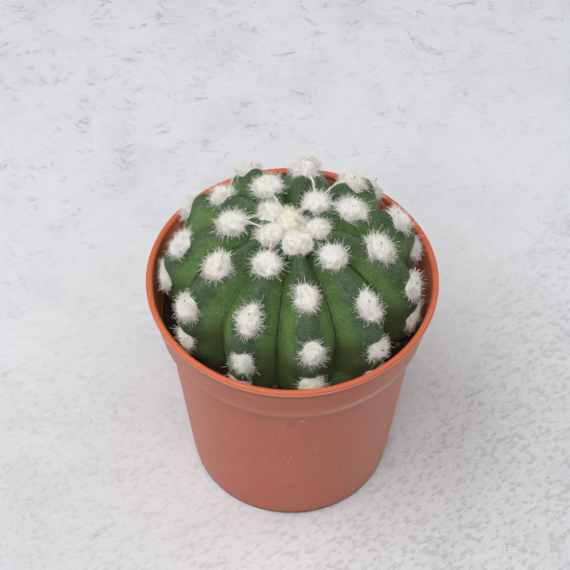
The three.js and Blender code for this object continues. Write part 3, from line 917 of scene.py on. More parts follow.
@dataclass
class NurseryPot:
    """The turned plastic pot: rolled lip, flared collar, soft step, tapered wall and drained floor."""

    rim_radius: float = 42.5 * MM
    height: float = 80 * MM
    wall: float = 1.1 * MM
    lip_bead: float = 1.0 * MM
    lip_start: float = math.radians(-30)
    lip_sweep: float = math.radians(240)
    collar_top: float = 41.9 * MM
    collar_bottom: float = 39.3 * MM
    collar_height: float = 15.8 * MM
    step_radius: float = 36.7 * MM
    step_drop: float = 22 * MM
    step_power: float = 1.9
    base_radius: float = 30.6 * MM
    floor_edge: float = 30.8 * MM
    foot_rounding: float = 1.2 * MM
    foot_ring: float = 3.2 * MM
    foot_recess: float = 1.5 * MM
    floor_top: float = 2.8 * MM
    inner_corner: float = 1.5 * MM
    sides: int = 160
    bead_steps: int = 18
    collar_steps: int = 6
    step_steps: int = 8
    wall_steps: int = 14
    foot_steps: int = 6
    hole_ring: float = 17.5 * MM
    holes: int = 6
    hole_radius: float = 3 * MM
    centre_hole_radius: float = 3.5 * MM
    hole_sides: int = 32

    def wall_radius(self, z: float) -> float:
        """The outer radius of the wall at a height between the foot and the lip.

        Args:
            z: the height.

        Returns:
            The radius.
        """
        collar_z = self.height - self.collar_height
        step_z = self.height - self.step_drop
        if z >= collar_z:
            lip_z = self.height - 2 * self.lip_bead
            share = (z - collar_z) / (lip_z - collar_z)
            return self.collar_bottom + (self.collar_top - self.collar_bottom) * share
        if z >= step_z:
            share = (z - step_z) / (collar_z - step_z)
            return self.step_radius + (self.collar_bottom - self.step_radius) * share ** self.step_power
        return self.floor_edge + (self.step_radius - self.floor_edge) * (z - self.foot_rounding) / step_z

    def inner_radius(self, z: float) -> float:
        """The inner radius of the wall at a height."""
        return self.wall_radius(z) - self.wall

    def _wall_heights(self) -> list[float]:
        """The heights of the outline's points from below the lip down to the foot."""
        levels = (self.height - 2 * self.lip_bead, self.height - self.collar_height,
                  self.height - self.step_drop, self.foot_rounding)
        steps = (self.collar_steps, self.step_steps, self.wall_steps)
        stretches = zip(levels, levels[1:], steps)
        return [z for top, foot, count in stretches for z in np.linspace(top, foot, count, endpoint=False)]

    @staticmethod
    def _arc(middle: tuple[float, float], radius: float, start: float, end: float,
             steps: int) -> list[tuple[float, float]]:
        """The points of an arc about a middle, by angles that are counted from the outward direction up."""
        angles = (start + (end - start) * step / steps for step in range(steps + 1))
        return [(middle[0] + radius * math.cos(a), middle[1] + radius * math.sin(a)) for a in angles]

    def _outline(self) -> tuple[list[tuple[float, float]], list[float]]:
        """The outline from the middle of the inner floor, up, over the lip and down to the foot's middle.

        Returns:
            The (radius, z) points, and for each 1 inside the pot and 0 outside.
        """
        heights = self._wall_heights()
        corner_z = self.floor_top + self.inner_corner
        floor_radii = (0.0, self.hole_ring / 2, self.floor_edge - self.wall - self.inner_corner)
        inside = [(radius, self.floor_top) for radius in floor_radii]
        inside += [(self.inner_radius(z), z) for z in reversed(heights) if z > corner_z]
        lip_middle = (self.rim_radius - self.lip_bead, self.height - self.lip_bead)
        lip_end = self.lip_start + self.lip_sweep
        lip = self._arc(lip_middle, self.lip_bead, lip_end, self.lip_start, self.bead_steps)
        outside = [(self.wall_radius(z), z) for z in heights]
        foot_middle = (self.base_radius - self.foot_rounding, self.foot_rounding)
        outside += self._arc(foot_middle, self.foot_rounding, 0.0, -math.pi / 2, self.foot_steps)
        ring_inside, recess = foot_middle[0] - self.foot_ring, self.foot_recess
        under = [(ring_inside, 0.0), (ring_inside - recess, recess), (0.0, recess)]
        outline = [*inside, *lip, *outside, *under]
        inner_count = len(inside) + len(lip) // 2
        return outline, [1.0] * inner_count + [0.0] * (len(outline) - inner_count)

    def _drilled(self) -> ShapeGraph:
        """The shape that cuts the drain holes: one in the middle and a ring of the others."""
        graph = ShapeGraph("drain_holes", "Ring radius")
        ring = graph.node("GeometryNodeMeshCircle", None, {
            "Vertices": self.holes, "Radius": graph.given("Ring radius"),
        })
        drill, middle = (
            graph.out(graph.node("GeometryNodeMeshCylinder", None, {
                "Vertices": self.hole_sides, "Radius": radius, "Depth": 4 * self.floor_top,
            }))
            for radius in (self.hole_radius, self.centre_hole_radius)
        )
        drills = graph.copies(graph.out(ring), drill, (0.0, 0.0, 0.0), (1.0, 1.0, 1.0))
        cutter = graph.realized(graph.together(drills, middle))
        settings = {"operation": "DIFFERENCE", "solver": "MANIFOLD"}
        inputs = {"Mesh 1": graph.given("Base"), "Mesh 2": cutter}
        graph.end(graph.out(graph.node("GeometryNodeMeshBoolean", settings, inputs)))
        return graph

    def build(self) -> None:
        """Builds the pot and hands it over."""
        outline, inner = self._outline()
        base = turned_mesh("pot", outline[::-1], self.sides, inner=inner[::-1])
        base.flip_normals()
        values = {"Ring radius": self.hole_ring, "Finish": PotPlastic().material()}
        piece = self._drilled().applied("nursery_pot", base, values)
        hand_over(piece, Slot.POT, "pot")


@dataclass(frozen=True)
class Scuff:
    """A pale rub or scratch on the outside of the pot.

    Attributes:
        places: what its line passes through, as (degrees round the pot, height in millimetres).
        width: how wide it is.
        strength: how well it covers, from 0 to 1.
    """

    places: tuple[tuple[float, float], ...]
    width: float
    strength: float


@dataclass
class PotWear:
    """The scuffs and scratches on the pot's wall, as thin ribbons that lie on it."""

    pot: NurseryPot
    step: float = 0.5 * MM
    columns: int = 5
    lift: float = 0.04 * MM
    smoothings: int = 3
    blunt: float = 0.12
    scuffs: tuple[Scuff, ...] = tuple(Scuff(places, width * MM, strength) for width, strength, places in (
        (0.9, 0.10, ((-62, 65.9), (-52, 66.0), (-43, 65.5), (-36, 65.2))),
        (0.9, 0.55, ((-72, 61.3), (-79, 61.7), (-83, 61.2), (-84, 60.4))),
        (1.3, 0.5, ((-83, 61.6), (-85.5, 58.5), (-86, 56.4))),
        (1.5, 0.75, ((-84.5, 61.0), (-82.5, 60.6))),
        (0.9, 0.6, ((-86.8, 53.6), (-87.2, 51.4))),
        (0.3, 0.7, ((-90.5, 38.8), (-89.5, 36.9), (-91.4, 35.6), (-91.4, 33.0))),
        (0.35, 0.6, ((-85.3, 42.4), (-83.8, 40.4), (-81.3, 39.4), (-79.0, 39.8))),
        (0.3, 0.5, ((-64.7, 28.0), (-65.4, 24.0), (-64.8, 21.0))),
        (0.5, 0.6, ((-93.8, 30.6), (-92.8, 30.2))),
        (0.5, 0.6, ((-78.4, 28.8), (-77.6, 28.4))),
        (0.35, 0.35, ((-113.9, 43.3), (-111.5, 40.5), (-108.9, 35.3))),
        (0.4, 0.3, ((-58, 46), (-50, 47), (-43, 46.2))),
        (0.3, 0.3, ((-100, 52), (-97, 47), (-96.5, 43))),
        (0.6, 0.5, ((30, 60), (22, 58), (14, 60))),
        (0.4, 0.45, ((95, 48), (101, 40), (102, 30))),
        (0.8, 0.45, ((150, 64.6), (164, 65.0), (180, 64.7), (192, 64.3))),
    ))

    def _ribbon(self, scuff: Scuff) -> tuple[np.ndarray, np.ndarray, np.ndarray]:
        """Lays out one scuff.

        Args:
            scuff: the scuff.

        Returns:
            For each point of its grid, row by row: the turn and the height, how far it is from the middle
            line as a share, and the strength.
        """
        turns = np.radians([place[0] for place in scuff.places])
        heights = np.array([place[1] for place in scuff.places]) * MM
        stretches = np.hypot(np.diff(turns) * self.pot.step_radius, np.diff(heights))
        ends = np.concatenate(([0.0], np.cumsum(stretches)))
        count = max(4, int(ends[-1] / self.step))
        along = np.linspace(0, ends[-1], count)
        line = np.column_stack((np.interp(along, ends, turns), np.interp(along, ends, heights)))
        for _ in range(self.smoothings):
            line[1:-1] = 0.25 * line[:-2] + 0.5 * line[1:-1] + 0.25 * line[2:]
        flat = line * np.array((self.pot.step_radius, 1.0))
        run = np.gradient(flat, axis=0)
        side = np.column_stack((-run[:, 1], run[:, 0])) / np.hypot(run[:, 0], run[:, 1])[:, None]
        across = np.linspace(-1, 1, self.columns)
        grid = flat[:, None, :] + across[None, :, None] * side[:, None, :] * (scuff.width / 2)
        grid = grid / np.array((self.pot.step_radius, 1.0))
        taper = np.sin(np.linspace(self.blunt, math.pi - self.blunt, count)) ** 0.5
        strength = np.repeat(scuff.strength * taper, self.columns)
        return grid.reshape(-1, 2), np.tile(np.abs(across), count), strength

    def _shape(self) -> ShapeGraph:
        """The rule that wraps the ribbons round the pot."""
        graph = ShapeGraph("pot_wear", "Lift")
        radius = graph.named("radius") + graph.given("Lift")
        place = graph.around(radius, graph.named("turn"), graph.named("height"))
        graph.end(graph.moved(graph.given("Base"), position=place))
        return graph

    def build(self) -> None:
        """Builds the wear and hands it over."""
        flat, across, strength, faces = [], [], [], []
        start = 0
        for scuff in self.scuffs:
            grid, off_middle, cover = self._ribbon(scuff)
            for row in range(len(grid) // self.columns - 1):
                for column in range(self.columns - 1):
                    corner = start + row * self.columns + column
                    faces.append((corner, corner + self.columns, corner + self.columns + 1, corner + 1))
            start += len(grid)
            flat.append(grid)
            across.append(off_middle)
            strength.append(cover)
        turns, heights = np.vstack(flat).T
        base = make_mesh(
            "wear", np.column_stack((turns, heights, np.zeros(start))), faces, turn=turns, height=heights,
            radius=np.array([self.pot.wall_radius(z) for z in heights]),
            across=np.concatenate(across), strength=np.concatenate(strength),
        )
        values = {"Lift": self.lift, "Finish": RubbedPlastic().material()}
        hand_over(self._shape().applied("pot_scuffs", base, values), Slot.POT)


@dataclass(frozen=True)
class Bits:
    """One kind of loose matter on the bed.

    Attributes:
        name: the piece's name.
        finish: what it is made of.
        size: the radius of a middling bit.
        density: how many lie on a square metre.
        flatness: its thickness as a share of its length.
        seed: where the random draw starts.
    """

    name: str
    finish: Finish
    size: float
    density: float
    flatness: float
    seed: int


@dataclass
class PottingBed:
    """The potting mix: a rough bed of peat, with crumbs, flakes of bark and pale grains lying on it."""

    pot: NurseryPot
    top: float = 65 * MM
    bottom: float = 3.1 * MM
    gap: float = 0.3 * MM
    sides: int = 220
    inner_radius: float = 24 * MM
    rings: int = 34
    side_rows: int = 16
    roughness: float = 0.9 * MM
    clod_size: float = 4.5 * MM
    kept_from: float = 28.5 * MM
    kept_to: float = 37.2 * MM
    bit_lengths: tuple[float, float] = (0.55, 1.5)
    bit_widths: tuple[float, float] = (0.55, 0.95)
    bit_tilt: float = 0.5
    dent_size: float = 0.8 * MM
    dent: float = 0.22 * MM
    bits: tuple[Bits, ...] = (
        Bits("peat_crumbs", LooseMatter(), 0.62 * MM, 0.42 / MM ** 2, 0.75, 11),
        Bits("bark_chips", LooseMatter("bark", (0.115, 0.045, 0.016), (0.30, 0.135, 0.050), 0.9 * MM),
             0.95 * MM, 0.040 / MM ** 2, 0.34, 12),
        Bits("pale_grains", LooseMatter("grit", (0.50, 0.42, 0.33), (0.75, 0.70, 0.62), 0.7 * MM),
             0.36 * MM, 0.030 / MM ** 2, 0.8, 13),
    )

    def _outline(self) -> list[tuple[float, float]]:
        """The outline from the middle of the top to the middle of the underside."""
        def room(z: float) -> float:
            """How far out the bed reaches at a height."""
            return self.pot.inner_radius(z) - self.gap

        edge = room(self.top)
        outline = [(0.0, self.top), (self.inner_radius / 2, self.top)]
        outline += [(r, self.top) for r in np.linspace(self.inner_radius, edge, self.rings)]
        corner_z = self.bottom + self.pot.inner_corner
        outline += [(room(z), z) for z in np.linspace(self.top, corner_z, self.side_rows)[1:]]
        outline += [(room(self.bottom) - self.pot.inner_corner, self.bottom), (0.0, self.bottom)]
        return outline

    def _rough_shape(self) -> ShapeGraph:
        """The rule that roughens the bed's top."""
        graph = ShapeGraph("rough_bed", "Roughness")
        x, y, z = graph.split(graph.position())
        distance = graph.reach(x, y)
        on_top = graph.ease(z, self.top - 0.2 * MM, self.top)
        edge = graph.ease(distance, self.kept_to + 0.8 * MM, self.kept_to - 0.8 * MM)
        lumps = graph.noise(graph.position(), self.clod_size, 4.0, 0.7) - 0.45
        height = lumps * graph.given("Roughness") * 2.0 * on_top * (0.35 + 0.65 * edge)
        graph.end(graph.moved(graph.given("Base"), offset=graph.joined(0.0, 0.0, height)))
        return graph

    def _bits_shape(self) -> ShapeGraph:
        """The rule of the loose bits: lumps of many sizes that lie about on the bed's rim."""
        graph = ShapeGraph("loose_bits", "Size", "Density", "Flatness", seeds=("Seed",))
        x, y, _ = graph.split(graph.position())
        distance = graph.reach(x, y)
        _, _, upward = graph.split(graph.normal())
        on_rim = graph.math("GREATER_THAN", distance, self.kept_from)
        on_rim = on_rim * graph.math("LESS_THAN", distance, self.kept_to)
        on_rim = on_rim * graph.math("GREATER_THAN", upward, 0.5)
        scatter = graph.node("GeometryNodeDistributePointsOnFaces", None, {
            "Mesh": graph.given("Base"), "Selection": on_rim, "Density": graph.given("Density"),
            "Seed": graph.given("Seed"),
        })
        lump = graph.node("GeometryNodeMeshIcoSphere", None, {"Radius": 1.0, "Subdivisions": 2})
        length = graph.given("Size") * graph.random(*self.bit_lengths, 31)
        width = length * graph.random(*self.bit_widths, 32)
        size = graph.joined(length, width, length * graph.given("Flatness"))
        lean = self.bit_tilt
        tilt = graph.random((-lean, -lean, 0.0), (lean, lean, 2 * math.pi), 33)
        rotation = graph.out(graph.node("FunctionNodeEulerToRotation", None, {0: tilt}))
        lumps = graph.realized(graph.copies(graph.out(scatter), graph.out(lump), rotation, size))
        graph.end(graph.stirred(lumps, self.dent_size, self.dent))
        return graph

    def build(self) -> None:
        """Builds the bed and what lies on it, and hands them over."""
        base = turned_mesh("bed", self._outline(), self.sides)
        values = {"Roughness": self.roughness, "Finish": LooseMatter().material()}
        bed = self._rough_shape().applied("peat_bed", base, values)
        hand_over(bed, Slot.MIX, "soil")
        shape = self._bits_shape()
        for kind in self.bits:
            values = {
                "Size": kind.size, "Density": kind.density, "Flatness": kind.flatness, "Seed": kind.seed,
                "Finish": kind.finish.material(),
            }
            hand_over(shape.applied(kind.name, bed.data.copy(), values), Slot.MIX)


@dataclass(frozen=True)
class AreoleRow:
    """The row of areoles on one rib.

    Attributes:
        start: how far from the crown, along the rib, the first one stands.
        gap: how far the second one stands from the first.
    """

    start: float
    gap: float


@dataclass
class Plant:
    """The ribbed body: the outlines through a crest and through a furrow, and the places of the areoles."""

    equator_z: float = 82 * MM
    crest_radius: float = 36.2 * MM
    crest_rise: float = 22 * MM
    furrow_radius: float = 29.6 * MM
    furrow_rise: float = 18 * MM
    drop: float = 50 * MM
    shoulder_power: float = 0.92
    crown_dip: float = 2.6 * MM
    crown_dip_radius: float = 7 * MM
    ribs: int = 11
    first_rib: float = math.radians(-81.5)
    crest_rounding: float = 0.2
    flank_swell: float = 0.3
    chin_height: float = 1.3 * MM
    end_angle: float = math.radians(112)
    buried_depth: float = 14 * MM
    root_collar: float = 6.5 * MM
    root_tip: float = 1.6 * MM
    root_tip_z: float = 26 * MM
    rows: tuple[AreoleRow, ...] = tuple(AreoleRow(start * MM, gap * MM) for start, gap in (
        (7.3, 17.9), (16.4, 17.0), (7.3, 18.6), (18.2, 16.3), (10.2, 17.3), (24.3, 14.5),
        (16.4, 16.4), (7.3, 18.4), (17.5, 17.0), (7.5, 17.8), (16.4, 16.3),
    ))
    gap_ratio: float = 0.85
    rib_columns: int = 34
    body_rows: int = 132
    buried_rows: int = 8
    root_rows: int = 4
    notch: float = 0.55 * MM
    notch_reach: float = 2.6 * MM
    ripple: float = 0.35 * MM
    ripple_size: float = 9 * MM
    fine_steps: int = 1441
    probe: float = 0.01

    def outline(self, angle: np.ndarray, radius: float, rise: float) -> tuple[np.ndarray, np.ndarray]:
        """The outline through a crest or a furrow.

        Args:
            angle: angles from the crown.
            radius: the outline's radius.
            rise: how high it rises over the equator.

        Returns:
            The distances from the axis, and the heights.
        """
        out = radius * np.sin(angle) ** self.shoulder_power
        cosine = np.cos(angle)
        up = np.where(cosine > 0, rise, self.drop) * np.sign(cosine) * np.abs(cosine) ** self.shoulder_power
        dip = self.crown_dip * np.exp(-((out / self.crown_dip_radius) ** 2))
        return out, self.equator_z + up - dip

    def crest_lengths(self, angles: np.ndarray) -> np.ndarray:
        """How far along the crest each angle from the crown lies, measured over the surface."""
        fine = np.linspace(0, self.end_angle, self.fine_steps)
        out, z = self.outline(fine, self.crest_radius, self.crest_rise)
        steps = np.hypot(np.diff(out), np.diff(z))
        return np.interp(angles, fine, np.concatenate(([0.0], np.cumsum(steps))))

    def angle_at(self, length: float) -> float:
        """The angle from the crown at a length along the crest."""
        fine = np.linspace(0, self.end_angle, self.fine_steps)
        return float(np.interp(length, self.crest_lengths(fine), fine))

    def crest_frame(self, turn: float, angle: float) -> tuple[Vector, Vector, Vector]:
        """A point of a crest, with the directions square to it and along it towards the ground.

        Args:
            turn: the angle round the plant.
            angle: the angle from the crown.

        Returns:
            The point, the outward direction and the direction down the rib.
        """
        angles = np.array([angle - self.probe, angle, angle + self.probe])
        out, z = self.outline(angles, self.crest_radius, self.crest_rise)
        down = Vector((out[2] - out[0], 0, z[2] - z[0])).normalized()
        outward = Vector((-down.z, 0, down.x))
        spin = Matrix.Rotation(turn, 3, "Z")
        return spin @ Vector((out[1], 0, z[1])), spin @ outward, spin @ down

    def _grid(self) -> bpy.types.Mesh:
        """The bare grid of the skin. Its points carry where on the plant they lie."""
        columns = self.ribs * self.rib_columns
        turns = self.first_rib + 2 * math.pi * (np.arange(columns) / columns)
        rib = np.arange(columns) / self.rib_columns
        across = 2 * (rib - np.round(rib))
        nearest = np.round(rib).astype(int) % self.ribs
        first = np.array([row.start for row in self.rows])[nearest]
        gap = np.array([row.gap for row in self.rows])[nearest]
        body = self.end_angle * (np.arange(1, self.body_rows + 1) / self.body_rows)
        angles = np.concatenate((body, np.full(self.buried_rows + self.root_rows, self.end_angle)))
        rows = len(angles)
        beyond = np.arange(1, rows + 1) - self.body_rows
        buried = np.clip(beyond / self.buried_rows, 0, 1)
        rooted = np.clip((beyond - self.buried_rows) / self.root_rows, 0, 1)

        by_column = {"turn": turns, "across": across, "first": first, "gap": gap}
        by_row = {
            "angle": (0.0, angles, self.end_angle), "along": (0.0, self.crest_lengths(angles), 1.0),
            "buried": (0.0, buried, 1.0), "rooted": (0.0, rooted, 1.0), "tip": (0.0, np.zeros(rows), 1.0),
        }
        carried = {}
        for label, each in by_column.items():
            carried[label] = np.concatenate((each[:1], np.tile(each, rows), each[:1]))
        for label, (top, each, bottom) in by_row.items():
            carried[label] = np.concatenate(([top], np.repeat(each, columns), [bottom]))
        return make_mesh("skin_grid", np.zeros((2 + rows * columns, 3)), ring_faces(rows, columns), **carried)

    def _skin_shape(self) -> ShapeGraph:
        """The rule that sets each grid point on the ribbed body, and writes what the finish reads."""
        graph = ShapeGraph(
            "ribbed_skin", "Crest radius", "Crest rise", "Furrow radius", "Furrow rise",
            "Chin height", "Notch depth", "Ripple",
        )
        angle, turn, along = graph.named("angle"), graph.named("turn"), graph.named("along")
        across = abs(graph.named("across"))
        first, first_gap = graph.named("first"), graph.named("gap")

        rounding = self.crest_rounding
        slope = (across * across + rounding ** 2) ** 0.5 - rounding
        slope = slope / (math.hypot(1, rounding) - rounding)
        swell = graph.math("COSINE", across * (math.pi / 2))
        height = (1.0 - slope) * (1 - self.flank_swell) + swell * self.flank_swell

        shrunk = 1.0 - (along - first) * (1 - self.gap_ratio) / first_gap
        series = graph.math("LOGARITHM", shrunk, self.gap_ratio)
        before = graph.math("LESS_THAN", along, first)
        order = before * (along / first) + (1.0 - before) * series
        chin = graph.math("SINE", order * math.pi) ** 2
        part = graph.math("FRACT", order)
        gap = before * first + (1.0 - before) * first_gap * self.gap_ratio ** graph.math("FLOOR", order)
        apart = graph.math("MINIMUM", part, 1.0 - part) * gap

        crest = self._outline_nodes(graph, angle, "Crest")
        furrow = self._outline_nodes(graph, angle, "Furrow")
        ahead = self._outline_nodes(graph, angle + self.probe, "Crest")
        behind = self._outline_nodes(graph, angle - self.probe, "Crest")
        run = ahead[0] - behind[0]
        rise = ahead[1] - behind[1]
        length = graph.reach(run, rise) + 1e-9

        out = furrow[0] + (crest[0] - furrow[0]) * height
        z = furrow[1] + (crest[1] - furrow[1]) * height
        sideways = crest[0] * across * (math.pi / self.ribs)
        near_areole = graph.math("EXPONENT", (apart * apart + sideways * sideways) / -self.notch_reach ** 2)
        ripple = graph.noise(graph.around(out, turn, z), self.ripple_size) - 0.5
        ripple = ripple * graph.given("Ripple") * graph.ease(angle, 0.1, 0.5)
        lift = chin * height * height * graph.given("Chin height")
        lift = (lift - near_areole * graph.given("Notch depth") + ripple) * (1.0 - graph.named("buried"))
        out = out - lift * rise / length
        z = z + lift * run / length

        buried = graph.named("buried") * (math.pi / 2)
        rooted = graph.named("rooted")
        out = self.root_collar + (out - self.root_collar) * graph.math("COSINE", buried)
        z = z - self.buried_depth * graph.math("SINE", buried)
        is_body = graph.math("LESS_THAN", rooted, 1e-6)
        root = self.root_collar + (self.root_tip - self.root_collar) * rooted
        out = out * is_body + (1.0 - is_body) * root
        z = z + (self.root_tip_z - z) * rooted
        z = z - graph.named("tip") * self.root_tip
        out = out * (1.0 - graph.named("tip")) * graph.math("GREATER_THAN", angle, 1e-6)
        skin = graph.moved(graph.given("Base"), position=graph.around(out, turn, z))
        skin = graph.store(skin, "fall", angle / self.end_angle)
        graph.end(graph.store(skin, "areole", near_areole))
        return graph

    def _outline_nodes(self, graph: ShapeGraph, angle: Value, side: str) -> tuple[Value, Value]:
        """The outline through a crest or a furrow, as nodes.

        Args:
            graph: takes the nodes.
            angle: the angle from the crown.
            side: which of the outlines, as the first word of its inputs.

        Returns:
            The distance from the axis, and the height.
        """
        sine = graph.math("MAXIMUM", graph.math("SINE", angle), 0.0)
        out = graph.given(f"{side} radius") * sine ** self.shoulder_power
        cosine = graph.math("COSINE", angle)
        above = graph.math("GREATER_THAN", cosine, 0.0)
        scale = self.drop + (graph.given(f"{side} rise") - self.drop) * above
        up = abs(cosine) ** self.shoulder_power * graph.math("SIGN", cosine) * scale
        dip = graph.math("EXPONENT", (out / self.crown_dip_radius) ** 2 * -1.0) * self.crown_dip
        return out, self.equator_z + up - dip

    def build(self, skin: bpy.types.Material) -> None:
        """Builds the body and hands it over.

        Args:
            skin: the plant's finish.
        """
        values = {
            "Crest radius": self.crest_radius, "Crest rise": self.crest_rise,
            "Furrow radius": self.furrow_radius, "Furrow rise": self.furrow_rise,
            "Chin height": self.chin_height, "Notch depth": self.notch, "Ripple": self.ripple,
            "Finish": skin,
        }
        piece = self._skin_shape().applied("cactus_body", self._grid(), values)
        hand_over(piece, Slot.PLANT, "cactus")


@dataclass
class Pup:
    """The young offset at the foot of the furrow on the front right. Its skin is painted dark as shade, for it
    sits in the shadow of the ribs above it.
    """

    turn: float = math.radians(-64)
    distance: float = 30.5 * MM
    radius: float = 5.2 * MM
    middle_z: float = 64.3 * MM
    ribs: int = 7
    rib_depth: float = 0.02
    columns: int = 84
    rows: int = 40
    shaded_across: float = 0.92
    fall_range: tuple[float, float] = (0.88, 0.98)

    def build(self, skin: bpy.types.Material) -> None:
        """Builds the pup and hands it over.

        Args:
            skin: its finish, a darker copy of the plant's that paints the pup in shade.
        """
        angles = np.linspace(0, math.pi, self.rows + 2)[1:-1]
        turns = np.linspace(0, 2 * math.pi, self.columns, endpoint=False)
        share = (turns * self.ribs / (2 * math.pi)) % 1.0
        across = 2 * (share - np.round(share))
        depth = 1 - self.rib_depth * np.abs(across)
        out = self.radius * np.outer(np.sin(angles), depth)
        high = self.radius * np.outer(np.cos(angles), np.ones(self.columns))
        points = np.column_stack(((out * np.cos(turns)).ravel(), (out * np.sin(turns)).ravel(), high.ravel()))
        points = np.vstack(([[0, 0, self.radius]], points, [[0, 0, -self.radius]]))
        points += (self.distance * math.cos(self.turn), self.distance * math.sin(self.turn), self.middle_z)
        top, bottom = self.fall_range
        rings = top + (bottom - top) * angles / math.pi
        fall = np.concatenate(([top], np.repeat(rings, self.columns), [bottom]))
        # Painted shade: every point takes an across near the furrow's, so the skin's finish paints the pup
        # mostly in the furrow's dark colour.
        mesh = make_mesh(
            "pup", points, ring_faces(self.rows, self.columns), fall=fall,
            across=np.full(len(points), self.shaded_across), areole=np.zeros(len(points)),
        )
        mesh.materials.append(skin)
        hand_over(add_object("cactus_pup", mesh), Slot.PLANT)


@dataclass(frozen=True)
class Tuft:
    """The wool of one areole.

    Attributes:
        point: where it grows on the crest.
        outward: the direction square to the skin.
        down: the direction down the rib.
        length: half its size down the rib.
        width: half its size across.
        height: how high its felt stands.
        cream: how yellow it is, from 0 to 1.
        aged: how much old wool it holds, from 0 to 1.
        rib: the number of its rib, or CROWN.
        order: its number on the rib, counted from the crown.
    """

    point: Vector
    outward: Vector
    down: Vector
    length: float
    width: float
    height: float
    cream: float
    aged: float
    rib: int
    order: int


@dataclass(frozen=True)
class Habit:
    """How one tuft differs from its neighbours.

    Attributes:
        rib: the number of its rib.
        order: its number on the rib, counted from the crown.
        length: how much longer it is down the rib, as a factor.
        width: how much wider it is, as a factor.
        swing: how far it stands round the plant from the crest, in degrees.
    """

    rib: int
    order: int
    length: float
    width: float
    swing: float = 0.0


@dataclass(frozen=True)
class Coat:
    """How one layer of hair grows on the felt.

    Attributes:
        length: the length of a long hair.
        radius: its radius at the root.
        density: how many grow on a square metre.
        stray: how far they stray from standing upright.
        curved: whether they bend.
    """

    length: float
    radius: float
    density: float
    stray: float
    curved: bool


